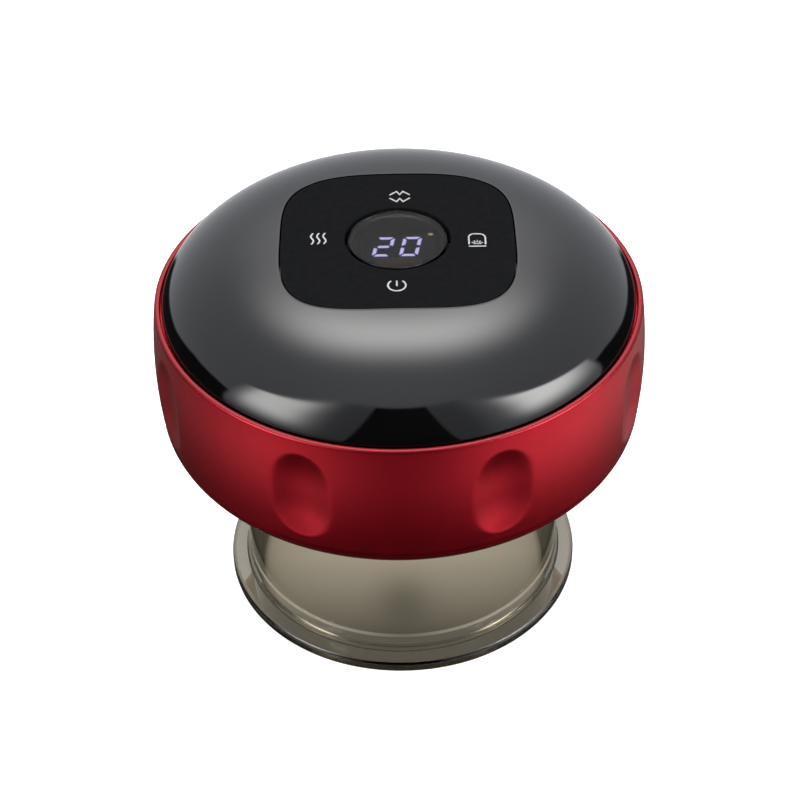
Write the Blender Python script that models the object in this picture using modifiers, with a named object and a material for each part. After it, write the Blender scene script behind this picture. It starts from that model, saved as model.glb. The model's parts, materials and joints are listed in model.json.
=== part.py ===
"""Electric cupping massager: a round domed suction head that stands on a clear cup.

The origin is the middle of the cup's rim, on the surface that it stands on. +Z points up through the
dome and -Y points to the user, where the power key is.
"""

from math import cos, pi, radians, sin, tan

import bmesh
import bpy
import numpy as np
from mathutils import Matrix, Vector

MM = 0.001

# Counts of facets
BODY_SIDES = 40
RING_SIDES = 64
SMALL_SIDES = 16
DOME_ROWS = 8
PLATE_ROWS = 3
BELLY_ROWS = 10
CORNER_ROWS = 4
ARC_STEPS = 2
OUTLINE_POINTS = 40
SMOOTH_ANGLE = radians(35)

# Clearances that the whole part shares
SEAT_GAP = 0.3 * MM
CUT_OVERRUN = 1.0 * MM
ROOT_OVERLAP = 0.4 * MM
MERGE_DISTANCE = 0.01 * MM

# Cup
CUP_WALL = 2.5 * MM
CUP_HEIGHT = 40.2 * MM
CUP_SETBACK = 8.9 * MM
FLANGE_REACH = 4.0 * MM
FLANGE_THICKNESS = 2.6 * MM
FLANGE_EDGE_RADIUS = 0.9 * MM
FLANGE_STEP = 0.6 * MM
FLANGE_STEP_HEIGHT = 1.2 * MM
MOUTH_HEIGHT = 3.0 * MM
MOUTH_FLARE = 1.2 * MM
NECK_SETBACK = 2.0 * MM
NECK_HEIGHT = 3.8 * MM
NECK_CHAMFER = 0.5 * MM
SEAL_WIRE = 1.1 * MM
SEAL_SIDES = 6
SEAL_GROOVE_HEIGHT = 1.8 * MM
SEAL_GROOVE_LIFT = 1.0 * MM

# Grip ring
RING_DROP = 0.2 * MM
BELLY_RADIUS = 49.35 * MM
BELLY_HEIGHT_SHARE = 0.533
BELLY_CROWN = 1.05 * MM
LOWER_CORNER_HEIGHT = 6.0 * MM
LOWER_CORNER_REACH = 6.0 * MM
RING_WALL = 2.2 * MM
LIP_LAND = 1.1 * MM
LIP_DEPTH = 1.5 * MM
COVER_LEDGE = 1.6 * MM
LEDGE_THICKNESS = 2.4 * MM
BASE_LEDGE = 1.3 * MM
BASE_LEDGE_THICKNESS = 2.0 * MM
DIMPLE_COUNT = 8
DIMPLE_DEPTH = 2.0 * MM
DIMPLE_HALF_WIDTH = 6.6 * MM
DIMPLE_HALF_HEIGHT_SHARE = 0.3487
DIMPLE_RISE = 1.4 * MM
DIMPLE_EDGE_POWER = 1.3
COLUMN_CROWDING_SHARE = 0.6

# Top cover
DOME_HEIGHT = 12.8 * MM
DOME_FULLNESS = 4
DOME_ROUNDING = 0.714
COVER_WALL = 2.0 * MM
COVER_SKIRT_INSET = 2.1 * MM
COVER_SKIRT_DEPTH = 2.2 * MM
COVER_SKIRT_WALL = 1.8 * MM
BOSS_SETBACK = 4.8 * MM
BOSS_RADIUS = 3.0 * MM
PILOT_RADIUS = 1.1 * MM
PILOT_DEPTH = 12.0 * MM
BOSS_COUNT = 4

# Key plate, key mat and their pan in the cover
PANEL_WIDTH_SHARE = 0.4721
PANEL_SQUARENESS = 3.7
PANEL_GAP = 0.4 * MM
PLATE_THICKNESS = 1.8 * MM
PLATE_RECESS = 0.1 * MM
PAN_DEPTH = 4.4 * MM
PAN_FLOOR = 1.4 * MM
PAN_WALL = 1.5 * MM
KEY_COUNT = 4
KEY_CIRCLE_SHARE = 0.304
MAT_THICKNESS = 0.8 * MM
MAT_BORDER = 0.4 * MM
MAT_LIFT = 0.5 * MM
KEY_PAD_RADIUS = 3.4 * MM
NUB_RADIUS = 1.8 * MM
NUB_HOLE_MARGIN = 0.8 * MM
KEY_STROKE_GAP = 0.45 * MM

# Display
LENS_RADIUS_SHARE = 0.1945
LENS_THICKNESS = 1.2 * MM
LENS_RECESS = 0.35 * MM
LENS_EDGE_RADIUS = 0.3 * MM
LENS_GAP = 0.85 * MM
HOLDER_WALL = 1.0 * MM
HOLDER_OVERSIZE = 0.3 * MM
HOLDER_FOOT = 1.2 * MM
MODULE_WIDTH_SHARE = 1.64
MODULE_DEPTH_SHARE = 1.034
MODULE_HEIGHT = 7.0 * MM
MODULE_EDGE = 0.4 * MM

# Main board and what stands on it
BOARD_SETBACK = 5.8 * MM
BOARD_THICKNESS = 1.6 * MM
SWITCH_SIDE = 6.0 * MM
SWITCH_BODY_HEIGHT = 3.1 * MM
SWITCH_HEIGHT = 4.3 * MM
SWITCH_CAP_RADIUS = 1.75 * MM
BUZZER_RADIUS = 4.5 * MM
BUZZER_HEIGHT = 2.8 * MM
BUZZER_HOLE = 1.0 * MM
BUZZER_PLACE_SHARES = (-0.603, 0.3836)
CHIP_SIDE = 7.0 * MM
CHIP_HEIGHT = 1.2 * MM
CHIP_PLACE_SHARES = (0.548, -0.4658)

# Base plate with its socket for the cup
BASE_RECESS = 0.5 * MM
BASE_THICKNESS = 2.0 * MM
SOCKET_WALL = 2.0 * MM
SOCKET_ROOF = 1.8 * MM
NOZZLE_RADIUS = 2.4 * MM
NOZZLE_BORE = 1.2 * MM
NOZZLE_LENGTH = 5.7 * MM
SCREW_HOLE_RADIUS = 1.5 * MM
SCREW_HEAD_RADIUS = 2.8 * MM
SCREW_HEAD_DEPTH = 1.1 * MM

# Heat plate, heating film and filter
HEAT_PLATE_SETBACK = 5.4 * MM
HEAT_PLATE_THICKNESS = 1.2 * MM
HEAT_PLATE_EDGE = 0.4 * MM
AIR_HOLE_RADIUS = 3.2 * MM
FILM_THICKNESS = 0.2 * MM
FILM_SETBACK = 2.0 * MM
FILTER_THICKNESS = 1.4 * MM

# Chassis
CHASSIS_THICKNESS = 1.6 * MM
NOZZLE_CLEARANCE = 1.1 * MM
RIB_WIDTH = 2.4 * MM
SADDLE_MARGIN = 2.0 * MM
POST_RADIUS = 2.4 * MM
POST_SETBACK = 5.5 * MM
LEFT_POST_SETBACK = 1.5 * MM
RIGHT_POST_SETBACK = 2.5 * MM
RIGHT_POST_ANGLE = radians(24.3)
SHELF_WIDTH = 13.0 * MM
SHELF_REACH = 9.0 * MM
SHELF_SETBACK = 1.2 * MM

# Battery
CELL_PASSAGE = 5.5 * MM
CELL_LENGTH_SHARE = 1.3333
CELL_EDGE = 0.8 * MM
CELL_CAP_RADIUS = 2.8 * MM
CELL_CAP_HEIGHT = 1.0 * MM
CELL_SADDLE_SHARE = 0.34

# Pump
PUMP_MARGIN = 1.0 * MM
HOSE_PASSAGE = 2.5 * MM
HOSE_BEND_ROOM = 13.6 * MM
MOTOR_REAR_SETBACK = 6.5 * MM
PUMP_HEADROOM = 1.28 * MM
MOTOR_EDGE = 1.2 * MM
MOTOR_BOSS_RADIUS = 3.0 * MM
MOTOR_BOSS_LENGTH = 1.5 * MM
SHAFT_RADIUS = 1.0 * MM
SHAFT_BORE_DEPTH = 3.0 * MM
SHAFT_STANDOUT = 2.2 * MM
CRANK_RADIUS_SHARE = 0.6
CRANK_THICKNESS = 3.0 * MM
CRANK_PIN_RADIUS = 1.2 * MM
CRANK_PIN_LENGTH = 2.4 * MM
CRANK_THROW = 1.5 * MM
CRANK_PIN_CLEARANCE = 1.0 * MM
BRACKET_WALL = 1.2 * MM
BRACKET_WINDOW_SHARE = 0.6
DIAPHRAGM_THICKNESS = 1.0 * MM
DIAPHRAGM_STEM_RADIUS = 2.0 * MM
DIAPHRAGM_STEM_LENGTH = 2.2 * MM
HEAD_LENGTH = 8.4 * MM
HEAD_EDGE = 0.8 * MM
SPIGOT_RADIUS = 1.6 * MM
SPIGOT_BORE = 0.8 * MM
SPIGOT_LENGTH = 4.6 * MM
SPIGOT_SPACING_SHARE = 0.8
MOTOR_SADDLE_INSET = 5.0 * MM

# Release valve
VALVE_SETBACK = 6.5 * MM
VALVE_SIDE = 12.0 * MM
VALVE_BODY_HEIGHT = 5.2 * MM
PORT_HEIGHT = 2.6 * MM
PLUNGER_RADIUS = 2.2 * MM
PLUNGER_DEPTH_SHARE = 0.489
PLUNGER_FLANGE_RADIUS = 3.6 * MM
PLUNGER_FLANGE_THICKNESS = 0.8 * MM
COIL_RADIUS = 4.7 * MM
YOKE_HEADROOM = 3.2 * MM
COIL_BORE_GAP = 0.35 * MM
YOKE_THICKNESS = 1.0 * MM
YOKE_DEPTH = 8.0 * MM
SPRING_WIRE = 0.5 * MM
SPRING_RADIUS = 3.1 * MM
SPRING_TURNS = 3
SPRING_HEIGHT = 2.6 * MM
SPRING_POINTS_PER_TURN = 8

# Hoses
HOSE_RADIUS = 2.1 * MM
HOSE_STEPS = 3
HOSE_RISE_SHARE = 0.233
HOSE_LEAD = 3.0 * MM

# Charging socket
USB_WIDTH = 8.9 * MM
USB_HEIGHT = 3.2 * MM
USB_LENGTH = 7.3 * MM
USB_SHELL = 0.35 * MM
USB_TONGUE_WIDTH = 6.7 * MM
USB_TONGUE_THICKNESS = 0.7 * MM
USB_TONGUE_SETBACK = 1.0 * MM
USB_BACK_WALL = 1.2 * MM
USB_CORNER_POINTS = 6
PORT_MARGIN = 1.2 * MM
CHARGE_BOARD_WIDTH = 14.0 * MM
CHARGE_BOARD_THICKNESS = 1.2 * MM
PORT_LIFT = 5.7 * MM

# Radii and places that follow from the sizes above
BASE_OPENING = BELLY_RADIUS - BELLY_CROWN - LOWER_CORNER_REACH
BASE_RADIUS = BASE_OPENING - SEAT_GAP
CHASSIS_RADIUS = BASE_OPENING - BASE_LEDGE
BOARD_RADIUS = BASE_OPENING - BOARD_SETBACK
BOSS_CIRCLE = BASE_OPENING - BOSS_SETBACK
BOSS_SIDE = BOSS_CIRCLE * cos(pi / BOSS_COUNT) - BOSS_RADIUS
CUP_RADIUS = BASE_OPENING - CUP_SETBACK
FLANGE_RADIUS = CUP_RADIUS + FLANGE_REACH
NECK_RADIUS = CUP_RADIUS - NECK_SETBACK
SOCKET_RADIUS = NECK_RADIUS + SEAT_GAP
HEAT_PLATE_RADIUS = NECK_RADIUS - HEAT_PLATE_SETBACK
FILM_RADIUS = HEAT_PLATE_RADIUS - FILM_SETBACK
SEAM_RADIUS = BELLY_RADIUS - BELLY_CROWN - LIP_LAND
COVER_RADIUS = SEAM_RADIUS - SEAT_GAP
PANEL_HALF_WIDTH = PANEL_WIDTH_SHARE * BELLY_RADIUS
KEY_CIRCLE = KEY_CIRCLE_SHARE * BELLY_RADIUS
MAT_RADIUS = KEY_CIRCLE + KEY_PAD_RADIUS + MAT_BORDER
LENS_RADIUS = LENS_RADIUS_SHARE * BELLY_RADIUS
LENS_HOLE_RADIUS = LENS_RADIUS + LENS_GAP
HOLDER_RADIUS = LENS_RADIUS + HOLDER_OVERSIZE
HOLDER_BORE = HOLDER_RADIUS - HOLDER_WALL
CELL_RADIUS = (BOSS_SIDE - CELL_PASSAGE) / 2
CELL_Y = CELL_PASSAGE + CELL_RADIUS
CELL_LENGTH = CELL_LENGTH_SHARE * BOSS_CIRCLE
MOTOR_RADIUS = (BOSS_SIDE - PUMP_MARGIN - HOSE_PASSAGE) / 2
PUMP_Y = -HOSE_PASSAGE - MOTOR_RADIUS
CRANK_TOP = MOTOR_BOSS_LENGTH + SHAFT_STANDOUT + CRANK_THICKNESS
BRACKET_LENGTH = CRANK_TOP + CRANK_PIN_LENGTH + CRANK_PIN_CLEARANCE + DIAPHRAGM_STEM_LENGTH - SEAT_GAP
HEAD_START = BRACKET_LENGTH + 2 * SEAT_GAP + DIAPHRAGM_THICKNESS
PUMP_LENGTH = HEAD_START + HEAD_LENGTH + SPIGOT_LENGTH + SEAT_GAP
VALVE_X = CHASSIS_RADIUS - VALVE_SETBACK
MOTOR_FRONT_X = VALVE_X - HOSE_BEND_ROOM - PUMP_LENGTH
MOTOR_LENGTH = MOTOR_FRONT_X + BOSS_CIRCLE - MOTOR_REAR_SETBACK

# Heights that follow, from the cup upwards
NECK_TOP = CUP_HEIGHT + NECK_HEIGHT
RING_BOTTOM = CUP_HEIGHT - RING_DROP
BASE_UNDERSIDE = RING_BOTTOM + BASE_RECESS
BASE_TOP = BASE_UNDERSIDE + BASE_THICKNESS
ROOF_UNDERSIDE = NECK_TOP + 2 * SEAT_GAP
ROOF_TOP = ROOF_UNDERSIDE + SOCKET_ROOF
CHASSIS_TOP = ROOF_TOP + SEAT_GAP + CHASSIS_THICKNESS
SOCKET_HEIGHT = CHASSIS_TOP + PORT_LIFT
CELL_HEIGHT = CHASSIS_TOP + SADDLE_MARGIN + CELL_RADIUS
PUMP_HEIGHT = CHASSIS_TOP + SADDLE_MARGIN + MOTOR_RADIUS
BOARD_UNDERSIDE = PUMP_HEIGHT + MOTOR_RADIUS + PUMP_HEADROOM
BOARD_TOP = BOARD_UNDERSIDE + BOARD_THICKNESS
SWITCH_TOP = BOARD_TOP + SEAT_GAP + SWITCH_HEIGHT
MODULE_TOP = BOARD_TOP + SEAT_GAP + MODULE_HEIGHT
LENS_UNDERSIDE = MODULE_TOP + LENS_GAP + SEAT_GAP
LENS_TOP = LENS_UNDERSIDE + LENS_THICKNESS
COVER_TOP = LENS_TOP + LENS_RECESS
LIP_HEIGHT = COVER_TOP - DOME_HEIGHT
BELLY_HEIGHT = RING_BOTTOM + BELLY_HEIGHT_SHARE * (LIP_HEIGHT - RING_BOTTOM)
DIMPLE_HALF_HEIGHT = DIMPLE_HALF_HEIGHT_SHARE * (LIP_HEIGHT - RING_BOTTOM)
COVER_FOOT = LIP_HEIGHT - LIP_DEPTH + SEAT_GAP
PAN_FLOOR_TOP = COVER_TOP - PAN_DEPTH
PAN_FLOOR_UNDERSIDE = PAN_FLOOR_TOP - PAN_FLOOR
MAT_UNDERSIDE = PAN_FLOOR_TOP + MAT_LIFT
VALVE_FOOT = CHASSIS_TOP + SEAT_GAP
VALVE_TOP = VALVE_FOOT + VALVE_BODY_HEIGHT
PLUNGER_FOOT = VALVE_TOP + SEAT_GAP
SPRING_FOOT = PLUNGER_FOOT + PLUNGER_FLANGE_THICKNESS + SEAT_GAP
COIL_FOOT = SPRING_FOOT + SPRING_HEIGHT + SEAT_GAP
COIL_HEIGHT = BOARD_UNDERSIDE - YOKE_HEADROOM - YOKE_THICKNESS - SEAT_GAP - COIL_FOOT
PLUNGER_LENGTH = COIL_FOOT - PLUNGER_FOOT + PLUNGER_DEPTH_SHARE * COIL_HEIGHT
PORT_Z = VALVE_FOOT + PORT_HEIGHT

ALONG_X = (0, pi / 2, 0)


def clear_scene():
    """Remove whatever the file holds."""
    for item in list(bpy.data.objects):
        bpy.data.objects.remove(item, do_unlink=True)


def new_collection(name):
    collection = bpy.data.collections.new(name)
    bpy.context.scene.collection.children.link(collection)
    return collection


def material(name, color, roughness, metallic=0.0, alpha=1.0):
    """A plain Principled finish."""
    finish = bpy.data.materials.new(name)
    finish.use_nodes = True
    shader = finish.node_tree.nodes["Principled BSDF"]
    shader.inputs["Base Color"].default_value = (*color, 1.0)
    shader.inputs["Roughness"].default_value = roughness
    shader.inputs["Metallic"].default_value = metallic
    shader.inputs["Alpha"].default_value = alpha
    finish.diffuse_color = (*color, alpha)
    return finish


def add_object(name, mesh, finish=None):
    """A sub-part where it has a finish, and a cutter where it has none."""
    item = bpy.data.objects.new(name, mesh)
    if finish is None:
        cutters.objects.link(item)
        item.hide_render = True
        item.display_type = "WIRE"
    else:
        parts.objects.link(item)
        mesh.materials.clear()
        mesh.materials.append(finish)
    return item


def shade(mesh):
    mesh.shade_smooth()
    mesh.set_sharp_from_angle(angle=SMOOTH_ANGLE)


def mesh_of(item):
    """The evaluated mesh of a helper object, which is then removed."""
    bpy.context.view_layer.update()
    evaluated = item.evaluated_get(bpy.context.evaluated_depsgraph_get())
    mesh = bpy.data.meshes.new_from_object(evaluated)
    bpy.data.objects.remove(item, do_unlink=True)
    return mesh


def weld(mesh):
    """Join the loose caps of a converted curve and point all faces out."""
    shape = bmesh.new()
    shape.from_mesh(mesh)
    bmesh.ops.remove_doubles(shape, verts=shape.verts, dist=MERGE_DISTANCE)
    bmesh.ops.recalc_face_normals(shape, faces=shape.faces)
    shape.to_mesh(mesh)
    shape.free()


def rounded(corners):
    """Turn (r, z) and (r, z, fillet radius) corners of a closed outline into points."""
    points = []
    places = [Vector(corner[:2]) for corner in corners]
    for index, corner in enumerate(corners):
        here = places[index]
        if len(corner) < 3:
            points.append(here)
            continue
        back = (places[index - 1] - here).normalized()
        ahead = (places[(index + 1) % len(places)] - here).normalized()
        half_angle = back.angle(ahead) / 2
        reach = corner[2] / tan(half_angle)
        centre = here + (back + ahead).normalized() * corner[2] / sin(half_angle)
        start = (here + back * reach - centre).normalized()
        end = (here + ahead * reach - centre).normalized()
        for step in range(ARC_STEPS + 1):
            points.append(centre + start.slerp(end, step / ARC_STEPS) * corner[2])
    return points


def signed_area(points):
    return sum(a[0] * b[1] - b[0] * a[1] for a, b in zip(points, points[1:] + points[:1])) / 2


def turned_mesh(name, corners, sides):
    """Turn a closed (r, z) outline about Z. Points at r = 0 lie on the axis, and none crosses it."""
    points = rounded(corners)
    if signed_area(points) > 0:
        points.reverse()
    on_axis = [index for index, point in enumerate(points) if point[0] < MERGE_DISTANCE]
    edges = [(index, (index + 1) % len(points)) for index in range(len(points))]
    if on_axis:
        edges = [edge for edge in edges if not (edge[0] in on_axis and edge[1] in on_axis)]
    mesh = bpy.data.meshes.new(name)
    mesh.from_pydata([(point[0], 0, point[1]) for point in points], edges, [])
    helper = bpy.data.objects.new(name, mesh)
    bpy.context.scene.collection.objects.link(helper)
    screw = helper.modifiers.new("Turn", "SCREW")
    screw.axis = "Z"
    screw.angle = 2 * pi
    screw.steps = sides
    screw.render_steps = sides
    screw.use_merge_vertices = True
    screw.merge_threshold = MERGE_DISTANCE
    result = mesh_of(helper)
    weld(result)
    return result


def turned(name, corners, finish=None, sides=SMALL_SIDES):
    mesh = turned_mesh(name, corners, sides)
    shade(mesh)
    return add_object(name, mesh, finish)


def prism(name, outline, bottom, top, finish=None):
    """A flat outline, drawn as a 2D curve and extruded from bottom to top."""
    curve = bpy.data.curves.new(name, "CURVE")
    curve.dimensions = "2D"
    curve.fill_mode = "BOTH"
    curve.extrude = (top - bottom) / 2
    spline = curve.splines.new("POLY")
    spline.points.add(len(outline) - 1)
    for point, place in zip(spline.points, outline):
        point.co = (place[0], place[1], 0, 1)
    spline.use_cyclic_u = True
    helper = bpy.data.objects.new(name, curve)
    bpy.context.scene.collection.objects.link(helper)
    mesh = mesh_of(helper)
    weld(mesh)
    mesh.transform(Matrix.Translation((0, 0, (top + bottom) / 2)))
    shade(mesh)
    return add_object(name, mesh, finish)


def box(name, low, high, finish=None, edge=0):
    """A box between two corners, with rounded edges where an edge radius is given."""
    shape = bmesh.new()
    bmesh.ops.create_cube(shape, size=1)
    size = Vector(high) - Vector(low)
    middle = (Vector(high) + Vector(low)) / 2
    stretch = Matrix.Translation(middle) @ Matrix.Diagonal((*size, 1))
    bmesh.ops.transform(shape, matrix=stretch, verts=shape.verts)
    mesh = bpy.data.meshes.new(name)
    shape.to_mesh(mesh)
    shape.free()
    item = add_object(name, mesh, finish)
    if edge:
        bevel = item.modifiers.new("Edges", "BEVEL")
        bevel.width = edge
        bevel.segments = 2
    return item


def cylinder(name, radius, low, high, finish=None, sides=SMALL_SIDES, spots=((0, 0),)):
    """An upright cylinder between two heights, over each of the given spots."""
    shape = bmesh.new()
    for x, y in spots:
        bmesh.ops.create_cone(
            shape, cap_ends=True, segments=sides, radius1=radius, radius2=radius, depth=high - low,
            matrix=Matrix.Translation((x, y, (low + high) / 2)),
        )
    mesh = bpy.data.meshes.new(name)
    shape.to_mesh(mesh)
    shape.free()
    shade(mesh)
    return add_object(name, mesh, finish)


def smooth_route(points, steps):
    """A Catmull-Rom curve through the given points, with a straight first and last stretch."""
    route = [points[0]]
    for index in range(1, len(points) - 2):
        a, b, c, d = points[index - 1:index + 3]
        for step in range(steps):
            t = step / steps
            route.append((b * 2 + (c - a) * t + (a * 2 - b * 5 + c * 4 - d) * t ** 2
                          + (b * 3 - a - c * 3 + d) * t ** 3) / 2)
    return route + points[-2:]


def tube(name, route, radius, finish):
    """A round tube along a list of points."""
    curve = bpy.data.curves.new(name, "CURVE")
    curve.dimensions = "3D"
    curve.bevel_depth = radius
    curve.bevel_resolution = 2
    curve.use_fill_caps = True
    spline = curve.splines.new("POLY")
    spline.points.add(len(route) - 1)
    for point, place in zip(spline.points, route):
        point.co = (*place, 1)
    helper = bpy.data.objects.new(name, curve)
    bpy.context.scene.collection.objects.link(helper)
    mesh = mesh_of(helper)
    weld(mesh)
    shade(mesh)
    return add_object(name, mesh, finish)


def combine(item, other, operation):
    change = item.modifiers.new(f"{operation.title()} {other.name}", "BOOLEAN")
    change.operation = operation
    change.object = other


def cut(item, *others):
    for other in others:
        combine(item, other, "DIFFERENCE")


def join(item, *others):
    for other in others:
        combine(item, other, "UNION")


def place(item, location, rotation=(0, 0, 0)):
    item.location = location
    item.rotation_euler = rotation
    return item


def around(count, radius, start=0.0):
    """Evenly spaced points on a circle."""
    angles = [start + 2 * pi * index / count for index in range(count)]
    return [(radius * cos(angle), radius * sin(angle)) for angle in angles]


def boss_spots():
    """Where the cover's bosses and the screws of the base plate stand."""
    return around(BOSS_COUNT, BOSS_CIRCLE, pi / BOSS_COUNT)


def key_spots():
    """The four keys: right, rear, left and front."""
    return around(KEY_COUNT, KEY_CIRCLE)


def dome_height(radius, inset=0):
    """Height of the dome's surface, or of the surface that lies inset below it, over the lip."""
    reach = min(radius / (COVER_RADIUS - inset), 1)
    return (DOME_HEIGHT - inset) * (1 - reach ** DOME_FULLNESS) ** DOME_ROUNDING


def dome_points(first, last, inset=0, rows=DOME_ROWS):
    """Points along the dome from one radius out to another, closer together at the shoulder."""
    shares = [sin(pi / 2 * row / rows) for row in range(rows + 1)]
    radii = [first + (last - first) * share for share in shares]
    return [(radius, LIP_HEIGHT + dome_height(radius, inset)) for radius in radii]


def belly(height):
    """Outer radius of the grip ring at a height."""
    return BELLY_RADIUS - BELLY_CROWN * ((height - BELLY_HEIGHT) / (LIP_HEIGHT - BELLY_HEIGHT)) ** 2


def panel_outline(grow=0):
    """The key plate's outline: a square with round corners and sides that bulge a little."""
    half = PANEL_HALF_WIDTH + grow
    power = 2 / PANEL_SQUARENESS
    outline = []
    for index in range(OUTLINE_POINTS):
        angle = 2 * pi * (index + 0.5) / OUTLINE_POINTS
        x, y = cos(angle), sin(angle)
        outline.append((half * np.sign(x) * abs(x) ** power, half * np.sign(y) * abs(y) ** power))
    return outline


def make_cup(finish):
    """A clear bell on a wide flat rim. Its neck pushes into the socket of the base plate."""
    inner = CUP_RADIUS - CUP_WALL
    neck_inner = NECK_RADIUS - CUP_WALL
    groove = CUP_HEIGHT + SEAL_GROOVE_LIFT
    groove_floor = NECK_RADIUS - SEAL_WIRE - SEAT_GAP
    return turned("cup", [
        (FLANGE_RADIUS, 0, FLANGE_EDGE_RADIUS / 2),
        (FLANGE_RADIUS, FLANGE_THICKNESS, FLANGE_EDGE_RADIUS),
        (CUP_RADIUS + FLANGE_STEP, FLANGE_THICKNESS),
        (CUP_RADIUS + FLANGE_STEP, FLANGE_THICKNESS + FLANGE_STEP_HEIGHT, FLANGE_STEP / 2),
        (CUP_RADIUS, FLANGE_THICKNESS + FLANGE_STEP_HEIGHT),
        (CUP_RADIUS, CUP_HEIGHT),
        (NECK_RADIUS, CUP_HEIGHT),
        (NECK_RADIUS, groove),
        (groove_floor, groove),
        (groove_floor, groove + SEAL_GROOVE_HEIGHT),
        (NECK_RADIUS, groove + SEAL_GROOVE_HEIGHT),
        (NECK_RADIUS, NECK_TOP, NECK_CHAMFER),
        (neck_inner, NECK_TOP),
        (neck_inner, CUP_HEIGHT - CUP_WALL),
        (inner, CUP_HEIGHT - 2 * CUP_WALL),
        (inner, MOUTH_HEIGHT),
        (inner + MOUTH_FLARE, 0, MOUTH_FLARE),
    ], finish, BODY_SIDES)


def make_cup_seal(finish):
    """A rubber ring in the groove of the cup's neck."""
    middle = CUP_HEIGHT + SEAL_GROOVE_LIFT + SEAL_GROOVE_HEIGHT / 2
    centre = NECK_RADIUS - SEAL_WIRE / 2
    section = [(centre + x, middle + z) for x, z in around(SEAL_SIDES, SEAL_WIRE / 2)]
    return turned("cup_seal", section, finish, 2 * SMALL_SIDES)


def press_dimples(mesh):
    """Crowd the ring's columns towards the finger dimples and press both faces of its wall in."""
    places = np.empty(len(mesh.vertices) * 3)
    mesh.vertices.foreach_get("co", places)
    places = places.reshape(-1, 3)
    radius = np.hypot(places[:, 0], places[:, 1])
    angle = np.arctan2(places[:, 1], places[:, 0])
    pitch = 2 * pi / DIMPLE_COUNT
    offset = (angle + pi / 2) % pitch - pitch / 2
    crowded = offset - COLUMN_CROWDING_SHARE * np.sin(offset * DIMPLE_COUNT) / DIMPLE_COUNT
    angle += crowded - offset
    across = crowded * BELLY_RADIUS / DIMPLE_HALF_WIDTH
    upward = (places[:, 2] - BELLY_HEIGHT - DIMPLE_RISE) / DIMPLE_HALF_HEIGHT
    bowl = np.clip(1 - across ** 2 - upward ** 2, 0, None) ** DIMPLE_EDGE_POWER
    radius -= DIMPLE_DEPTH * bowl
    places[:, 0] = radius * np.cos(angle)
    places[:, 1] = radius * np.sin(angle)
    mesh.vertices.foreach_set("co", places.ravel())
    mesh.update()


def make_grip_ring(finish):
    """The painted shell round the body, with a dimple for each finger and the charging port."""
    corner_top = RING_BOTTOM + LOWER_CORNER_HEIGHT
    corner_reach = belly(corner_top) - BASE_OPENING
    heights = np.linspace(LIP_HEIGHT, corner_top, BELLY_ROWS + 1)
    outer = [(belly(height), height) for height in heights]
    corner = []
    for step in range(1, CORNER_ROWS + 1):
        angle = pi / 2 * step / CORNER_ROWS
        radius = BASE_OPENING + corner_reach * cos(angle)
        corner.append((radius, corner_top - LOWER_CORNER_HEIGHT * sin(angle)))
    ledge_underside = BASE_TOP + SEAT_GAP
    ledge_top = ledge_underside + BASE_LEDGE_THICKNESS
    base_ledge = [
        (BASE_OPENING, ledge_underside),
        (BASE_OPENING - BASE_LEDGE, ledge_underside),
        (BASE_OPENING - BASE_LEDGE, ledge_top),
        (belly(corner_top) - 2 * RING_WALL, ledge_top),
    ]
    lip_floor = LIP_HEIGHT - LIP_DEPTH
    inside_top = lip_floor - LEDGE_THICKNESS - COVER_LEDGE
    inner_heights = np.linspace(corner_top, inside_top, BELLY_ROWS // 2)
    inner = [(belly(height) - RING_WALL, height) for height in inner_heights]
    cover_ledge = [
        (SEAM_RADIUS - COVER_LEDGE, lip_floor - LEDGE_THICKNESS),
        (SEAM_RADIUS - COVER_LEDGE, lip_floor),
        (SEAM_RADIUS, lip_floor),
        (SEAM_RADIUS, LIP_HEIGHT),
    ]
    mesh = turned_mesh("grip_ring", outer + corner + base_ledge + inner + cover_ledge, RING_SIDES)
    press_dimples(mesh)
    shade(mesh)
    ring = add_object("grip_ring", mesh, finish)
    port = prism("port_cut", pill(USB_WIDTH + 2 * PORT_MARGIN, USB_HEIGHT + 2 * PORT_MARGIN),
                 -RING_WALL - CUT_OVERRUN, CUT_OVERRUN)
    cut(ring, place(port, (0, BELLY_RADIUS, SOCKET_HEIGHT), (-pi / 2, 0, 0)))
    return ring


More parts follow.
